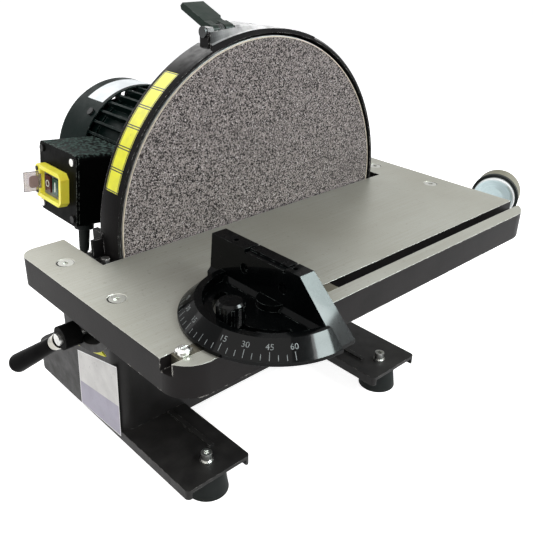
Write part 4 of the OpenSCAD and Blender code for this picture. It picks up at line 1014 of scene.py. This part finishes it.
# The duct is olive, paler olive-beige on its faces that look up.
duct_finish = painted("duct_finish", (0.13, 0.125, 0.085), (0.45, 0.44, 0.36), rough=0.5,
                      ripple=0.06, ripple_waves=300, chips=0.6, edge=1.0, dust=0.4,
                      dust_colour=(0.30, 0.28, 0.20))
wear("dust_duct", duct_finish)
print("without a finish:", sorted(set(nodes) - finished - {"cord_run", "cord_coil"}))

# %% [markdown]
# ## A slimmer cord gland
# The photograph shows hardly more than the cord under the box, so the look has a slimmer gland
# than the drawing. Half of its outline is a row of points, spun once round the cord, because a
# turned shape is changed most easily by its outline.

# %% Gland
GLAND_PROFILE = [(0, -29.8), (4.4, -29.8), (4.9, -27), (5.6, -8), (6.4, -6), (9.5, -5.6),
                 (9.5, -0.4), (0, -0.4)]


def link_mesh(bm, name, body, finish):
    """Makes an object from the bmesh and lets it ride on a body."""
    thing = linked(name, mesh_from(bm, name))
    thing.data.materials.append(finish)
    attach(thing, body)
    return thing


gland = bmesh.new()
outline = [gland.verts.new((r, 0, z)) for r, z in GLAND_PROFILE]
wires = [gland.edges.new(pair) for pair in zip(outline, outline[1:])]
bmesh.ops.spin(gland, geom=[*outline, *wires], cent=(0, 0, 0), axis=(0, 0, 1),
               angle=math.tau, steps=32, use_merge=True)
bmesh.ops.remove_doubles(gland, verts=gland.verts, dist=SAME_POINT)
for vert in gland.verts:
    vert.co = at(*on_box(*(Vector(GLAND) + vert.co)))
bmesh.ops.recalc_face_normals(gland, faces=gland.faces)
gland_form = link_mesh(gland, "gland_form", "frame", rubber)
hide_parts("cord_gland")
print("gland faces:", len(gland_form.data.polygons))

# %% [markdown]
# ## Stickers and the plain strip
# A yellow strip with black divider lines goes round the left of the guard, a white sticker is on
# the fan cover and a two-tone one on the side of the base. They are blank here. A sticker that
# follows a round wall is the path of a straight edge spun about the axis of that wall, with UVs
# from the angle and the width, so that the divider lines can be drawn by the material.

# %% Curved stickers


def wrap(name, radius, start, end, y_from, y_to, finish, steps):
    """A strip on a round wall about the spindle, from one angle to another, in degrees."""
    bm = bmesh.new()
    a = math.radians(start)
    ends = [bm.verts.new(at(radius * math.cos(a), y, SPINDLE_UP + radius * math.sin(a)))
            for y in (y_from, y_to)]
    edge = bm.edges.new(ends)
    axis = at(0, 0, SPINDLE_UP)
    bmesh.ops.spin(bm, geom=[*ends, edge], cent=axis, axis=(0, -1, 0),
                   angle=math.radians(end - start), steps=steps, use_merge=False)
    uv = bm.loops.layers.uv.new("along")
    for face in bm.faces:
        for loop in face.loops:
            p = (loop.vert.co - axis) / MM
            loop[uv].uv = ((math.degrees(math.atan2(p.z, p.x)) - start) / (end - start),
                           (p.y - y_from) / (y_to - y_from))
    bmesh.ops.recalc_face_normals(bm, faces=bm.faces)
    middle = bm.faces[:][len(bm.faces) // 2]
    outwards = middle.calc_center_median() - axis
    outwards.y = 0
    if middle.normal.dot(outwards) < 0:
        bmesh.ops.reverse_faces(bm, faces=bm.faces)
    for face in bm.faces:
        face.smooth = True
    return link_mesh(bm, name, "frame", finish)


def uv_parts(tree):
    """The two parts of the piece's own UV map."""
    uv = tree.nodes.new("ShaderNodeUVMap")
    uv.uv_map = "along"
    parts = parts_of(tree, uv.outputs[0])
    return parts["X"], parts["Y"]


print("stickers can be wrapped")

# %% Yellow strip
PANELS = 6
LINE_AT, LINE_HALF = 0.446, 0.026
STRIP = dict(radius=158.62, start=124.3, end=163.3, y_from=3.0, y_to=20.0, steps=40)
strip_finish, tree, shader = start_finish("yellow_strip", 0.34)
u, v = uv_parts(tree)
panel = calc(tree, "FRACT", times(tree, u, PANELS))
dividers = calc(tree, "COMPARE", from_half(tree, panel), LINE_AT, LINE_HALF)
rails = calc(tree, "COMPARE", from_half(tree, v), LINE_AT, LINE_HALF)
lines = calc(tree, "MAXIMUM", dividers, rails)
yellow = mixed(tree, patches(tree, 150, 4, 0.35, 0.75), (0.74, 0.73, 0.019), (0.62, 0.61, 0.03))
yellow = mixed(tree, patches(tree, 420, 3, 0.66, 0.78, 0, 0.45), yellow, (0.25, 0.19, 0.05))
put(tree, shader.inputs["Base Color"], mixed(tree, lines, yellow, (0.012, 0.012, 0.012)))
relief(tree, shader, grain(tree, 250, 2), 0.03, round_edges=0)
wrap("guard_strip", finish=strip_finish, **STRIP)
print("strip panels:", PANELS)

# %% White sticker on the motor
MOTOR_STICKER = dict(radius=77.15, start=72.0, end=124.0, y_from=204.6, y_to=235.0, steps=30)
paper, tree, shader = start_finish("blank_sticker", 0.42)
white = mixed(tree, patches(tree, 60, 5, 0.4, 0.75), (0.70, 0.74, 0.76), (0.57, 0.61, 0.63))
white = mixed(tree, patches(tree, 500, 3, 0.68, 0.8, 0, 0.4), white, (0.25, 0.24, 0.22))
put(tree, shader.inputs["Base Color"], white)
relief(tree, shader, grain(tree, 180, 2), 0.04, round_edges=0)
wrap("motor_sticker", finish=paper, **MOTOR_STICKER)
print("sticker, degrees:", MOTOR_STICKER["end"] - MOTOR_STICKER["start"])

# %% [markdown]
# The sticker on the side of the base is flat and set a few degrees out of square, as a hand
# leaves it. It is a grid whose corners are moved to the four measured places.

# %% Two tones of the flat sticker
BAND_TO = 0.44
BORDER_FROM = 0.488
label_finish, tree, shader = start_finish("two_tone_sticker", 0.38)
u, v = uv_parts(tree)
upper = mixed(tree, patches(tree, 45, 5, 0.4, 0.75), (0.60, 0.59, 0.57), (0.47, 0.46, 0.45))
lower = mixed(tree, patches(tree, 60, 4, 0.4, 0.75), (0.31, 0.29, 0.37), (0.25, 0.235, 0.30))
tone = mixed(tree, calc(tree, "LESS_THAN", v, BAND_TO), upper, lower)
outer = calc(tree, "MAXIMUM", from_half(tree, u), from_half(tree, v))
tone = mixed(tree, calc(tree, "GREATER_THAN", outer, BORDER_FROM), tone, (0.80, 0.80, 0.80))
tone = mixed(tree, patches(tree, 350, 4, 0.62, 0.75, 0, 0.4), tone, (0.16, 0.15, 0.15))
put(tree, shader.inputs["Base Color"], tone)
relief(tree, shader, grain(tree, 120, 2), 0.05, round_edges=0)
print("sticker tones mixed")

# %% Flat sticker on the base
BASE_W = 318.0
STICKER_OUT = 0.15
CORNERS = {(0, 0): (93.0, -197.4), (1, 0): (18.5, -194.0),
           (0, 1): (88.5, -131.0), (1, 1): (15.5, -113.0)}
side_x = -BASE_W / 2 - STICKER_OUT
bm = bmesh.new()
bmesh.ops.create_grid(bm, x_segments=8, y_segments=8, size=0.5, calc_uvs=False)
uv = bm.loops.layers.uv.new("along")
for face in bm.faces:
    for loop in face.loops:
        loop[uv].uv = (loop.vert.co.x + 0.5, loop.vert.co.y + 0.5)
for vert in bm.verts:
    s, t = vert.co.x + 0.5, vert.co.y + 0.5
    y, z = (sum(place[k] * (s if i else 1 - s) * (t if j else 1 - t)
                for (i, j), place in CORNERS.items()) for k in (0, 1))
    vert.co = at(side_x, y, z)
bmesh.ops.recalc_face_normals(bm, faces=bm.faces)
if bm.faces[:][0].normal.x > 0:
    bmesh.ops.reverse_faces(bm, faces=bm.faces)
link_mesh(bm, "base_sticker", "frame", label_finish)
print("base side at x, mm:", round(side_x, 2))

# %% [markdown]
# ## The dial of the mitre gauge
# The slanted band of the gauge carries grey degree lines every five degrees and plain numbers
# every fifteen. Lines and numbers start flat, are cut out or set in Blender's own font, and are
# then bent onto the cone of the band: one coordinate goes round it and the other up its slope.
# Real geometry stays crisp at any distance, which a painted pattern would not.

# %% Bending flat shapes onto the band
PIVOT = (-121.0, -143.2)
BAND_LOW, BAND_HIGH = (66.5, 3.0), (55.0, 14.0)
SLOPE = math.dist(BAND_LOW, BAND_HIGH)
PROUD = 0.06
DIAL_MIDDLE = 180
DIAL_SIDE = 60


def on_band(up):
    """Radius and height of the band, so many millimetres up its slope."""
    return [low + (high - low) * up / SLOPE for low, high in zip(BAND_LOW, BAND_HIGH)]


def bend(bm, middle, base):
    """Bends a flat bmesh, in millimetres, onto the band about an angle in degrees."""
    for vert in bm.verts:
        r, z = on_band(base + vert.co.y)
        a = math.radians(middle) + vert.co.x / r
        vert.co = at(PIVOT[0] + (r + PROUD) * math.cos(a),
                     PIVOT[1] + (r + PROUD) * math.sin(a), z + PROUD)


def face_up(bm):
    """Turns every face that looks down."""
    for face in bm.faces:
        face.normal_update()
        if face.normal.z < 0:
            face.normal_flip()


grey_ink, tree, shader = start_finish("grey_ink", 0.5)
put(tree, shader.inputs["Base Color"],
    mixed(tree, patches(tree, 500, 4, 0.42, 0.66), (0.150, 0.165, 0.165), (0.045, 0.055, 0.055)))
relief(tree, shader, grain(tree, 900, 2), 0.02, round_edges=0)
print("slope of the band, mm:", round(SLOPE, 2))

# %% Lines on the dial
LINE_EVERY, NUMBER_EVERY = 5, 15
LINE_WIDE = 0.5
LONG_LINE, SHORT_LINE = 5.6, 3.9
LINE_UP = 1.4
marks = bmesh.new()
for turn_by in range(-DIAL_SIDE, DIAL_SIDE + 1, LINE_EVERY):
    tall = SHORT_LINE if turn_by % NUMBER_EVERY else LONG_LINE
    one = bmesh.new()
    bmesh.ops.create_grid(one, x_segments=1, y_segments=3, size=0.5)
    bmesh.ops.scale(one, vec=(LINE_WIDE, tall, 1), verts=one.verts)
    bmesh.ops.translate(one, vec=(0, tall / 2, 0), verts=one.verts)
    bend(one, DIAL_MIDDLE + turn_by, LINE_UP)
    piece = mesh_from(one, "mark")
    marks.from_mesh(piece)
    bpy.data.meshes.remove(piece)
face_up(marks)
dial_marks = link_mesh(marks, "dial_marks", "mitre_head", grey_ink)
print("faces of the lines:", len(dial_marks.data.polygons))

# %% Numbers on the dial
NUMBER_SIZE = 5.6
NUMBER_UP = 8.3
LONGEST_EDGE = 1.2
numbers = bmesh.new()
for turn_by in range(-DIAL_SIDE, DIAL_SIDE + 1, NUMBER_EVERY):
    if turn_by == 0:
        continue
    letters = bpy.data.curves.new("number", "FONT")
    letters.body = str(abs(turn_by))
    letters.size = NUMBER_SIZE
    letters.align_x = "CENTER"
    letters.resolution_u = 3
    flat = linked("number", letters)
    shape = bpy.data.meshes.new_from_object(flat)
    one = bmesh.new()
    one.from_mesh(shape)
    bmesh.ops.triangulate(one, faces=one.faces)
    long_edges = [e for e in one.edges if e.calc_length() > LONGEST_EDGE]
    bmesh.ops.subdivide_edges(one, edges=long_edges, cuts=1)
    bend(one, DIAL_MIDDLE + turn_by, NUMBER_UP)
    one.to_mesh(shape)
    one.free()
    numbers.from_mesh(shape)
    bpy.data.objects.remove(flat)
    bpy.data.meshes.remove(shape)
    bpy.data.curves.remove(letters)
face_up(numbers)
dial_numbers = link_mesh(numbers, "dial_numbers", "mitre_head", grey_ink)
print("faces of the numbers:", len(dial_numbers.data.polygons))

# %% [markdown]
# ## Small marks on the switch
# The green button has a pale upright bar and the red one a pale ring, pressed into the plastic.
# They are small solids set a tenth of a millimetre proud of the button's face. Each is modelled
# flat at the middle of the scene and then set on its button with one matrix.

# %% A place on the buttons
BOX_OUT = 126.5
BUTTON_OUT = 6.0
BEZEL_Z = -8.2
START_Y, STOP_Y = 151.3, 166.3
pale_ink, tree, shader = start_finish("pale_ink", 0.4)
put(tree, shader.inputs["Base Color"],
    mixed(tree, patches(tree, 700, 3, 0.45, 0.7), (0.78, 0.84, 0.76), (0.50, 0.58, 0.50)))
relief(tree, shader, grain(tree, 900, 2), 0.02, round_edges=0.2)


def on_button(bm, y):
    """Sets a shape, in millimetres with its face along -x, on the buttons' plane at y."""
    spot = Matrix.Translation((-BOX_OUT - BUTTON_OUT, y, BEZEL_Z))
    leaning = Matrix.Translation((0, 0, SPINDLE_UP)) @ Matrix.Rotation(LEAN, 4, "Y")
    to_scene = Matrix.Translation(ORIGIN) @ Matrix.Scale(MM, 4)
    bmesh.ops.transform(bm, matrix=to_scene @ leaning @ spot, verts=bm.verts)


def round_off(bm, geom, offset, segments):
    """Rounds the given edges."""
    bmesh.ops.bevel(bm, geom=geom, offset=offset, segments=segments, profile=0.5,
                    affect="EDGES", material=-1)


print("buttons at y, mm:", START_Y, STOP_Y)

# %% Bar and ring
BAR = (0.5, 1.9, 9.6)
RING_R, RING_WIDE, RING_THICK = 3.4, 0.9, 0.25
bm = bmesh.new()
bmesh.ops.create_cube(bm, size=1)
bmesh.ops.scale(bm, vec=BAR, verts=bm.verts)
round_off(bm, bm.edges, 0.12, 2)
on_button(bm, START_Y)
link_mesh(bm, "start_bar", "start_button", pale_ink)

bm = bmesh.new()
circle = bmesh.ops.create_circle(bm, segments=32, radius=RING_R, cap_ends=False)
disc = bmesh.ops.contextual_create(bm, geom=circle["verts"])["faces"]
bmesh.ops.inset_region(bm, faces=disc, thickness=RING_WIDE, use_boundary=True,
                       use_even_offset=True)
bmesh.ops.delete(bm, geom=disc, context="FACES_ONLY")
back = bmesh.ops.extrude_face_region(bm, geom=bm.faces[:])
back_verts = [item for item in back["geom"] if isinstance(item, bmesh.types.BMVert)]
bmesh.ops.translate(bm, vec=(0, 0, RING_THICK), verts=back_verts)
bmesh.ops.rotate(bm, cent=(0, 0, 0), matrix=Matrix.Rotation(math.radians(-90), 3, "Y"),
                 verts=bm.verts)
bmesh.ops.recalc_face_normals(bm, faces=bm.faces)
on_button(bm, STOP_Y)
link_mesh(bm, "stop_ring", "stop_button", pale_ink)
print("marks on the buttons set")

# %% [markdown]
# A soft pinkish pad inside the flap presses the stop button when the flap is struck. It is a
# thin block with four well-rounded upright corners and a small rounding all over.

# %% Pad in the flap
PAD_SIZE = (9.5, 1.2, 12.0)
PAD_OUT = -9.2
PAD_Y = 176.75
PAD_CORNER, PAD_EDGE = 3.0, 0.3
pad_finish = moulded("flap_pad", (0.25, 0.18, 0.175), 0.35, 0.2, edge_tone=(0.50, 0.43, 0.41))
bm = bmesh.new()
bmesh.ops.create_cube(bm, size=1)
bmesh.ops.scale(bm, vec=PAD_SIZE, verts=bm.verts)
upright = [e for e in bm.edges if abs(e.verts[0].co.y - e.verts[1].co.y) > 0.5]
round_off(bm, upright, PAD_CORNER, 6)
round_off(bm, bm.edges, PAD_EDGE, 2)
bmesh.ops.translate(bm, vec=(PAD_OUT, 0, 0), verts=bm.verts)
on_button(bm, PAD_Y)
link_mesh(bm, "flap_pad", "stop_flap", pad_finish)
print("flap pad set")
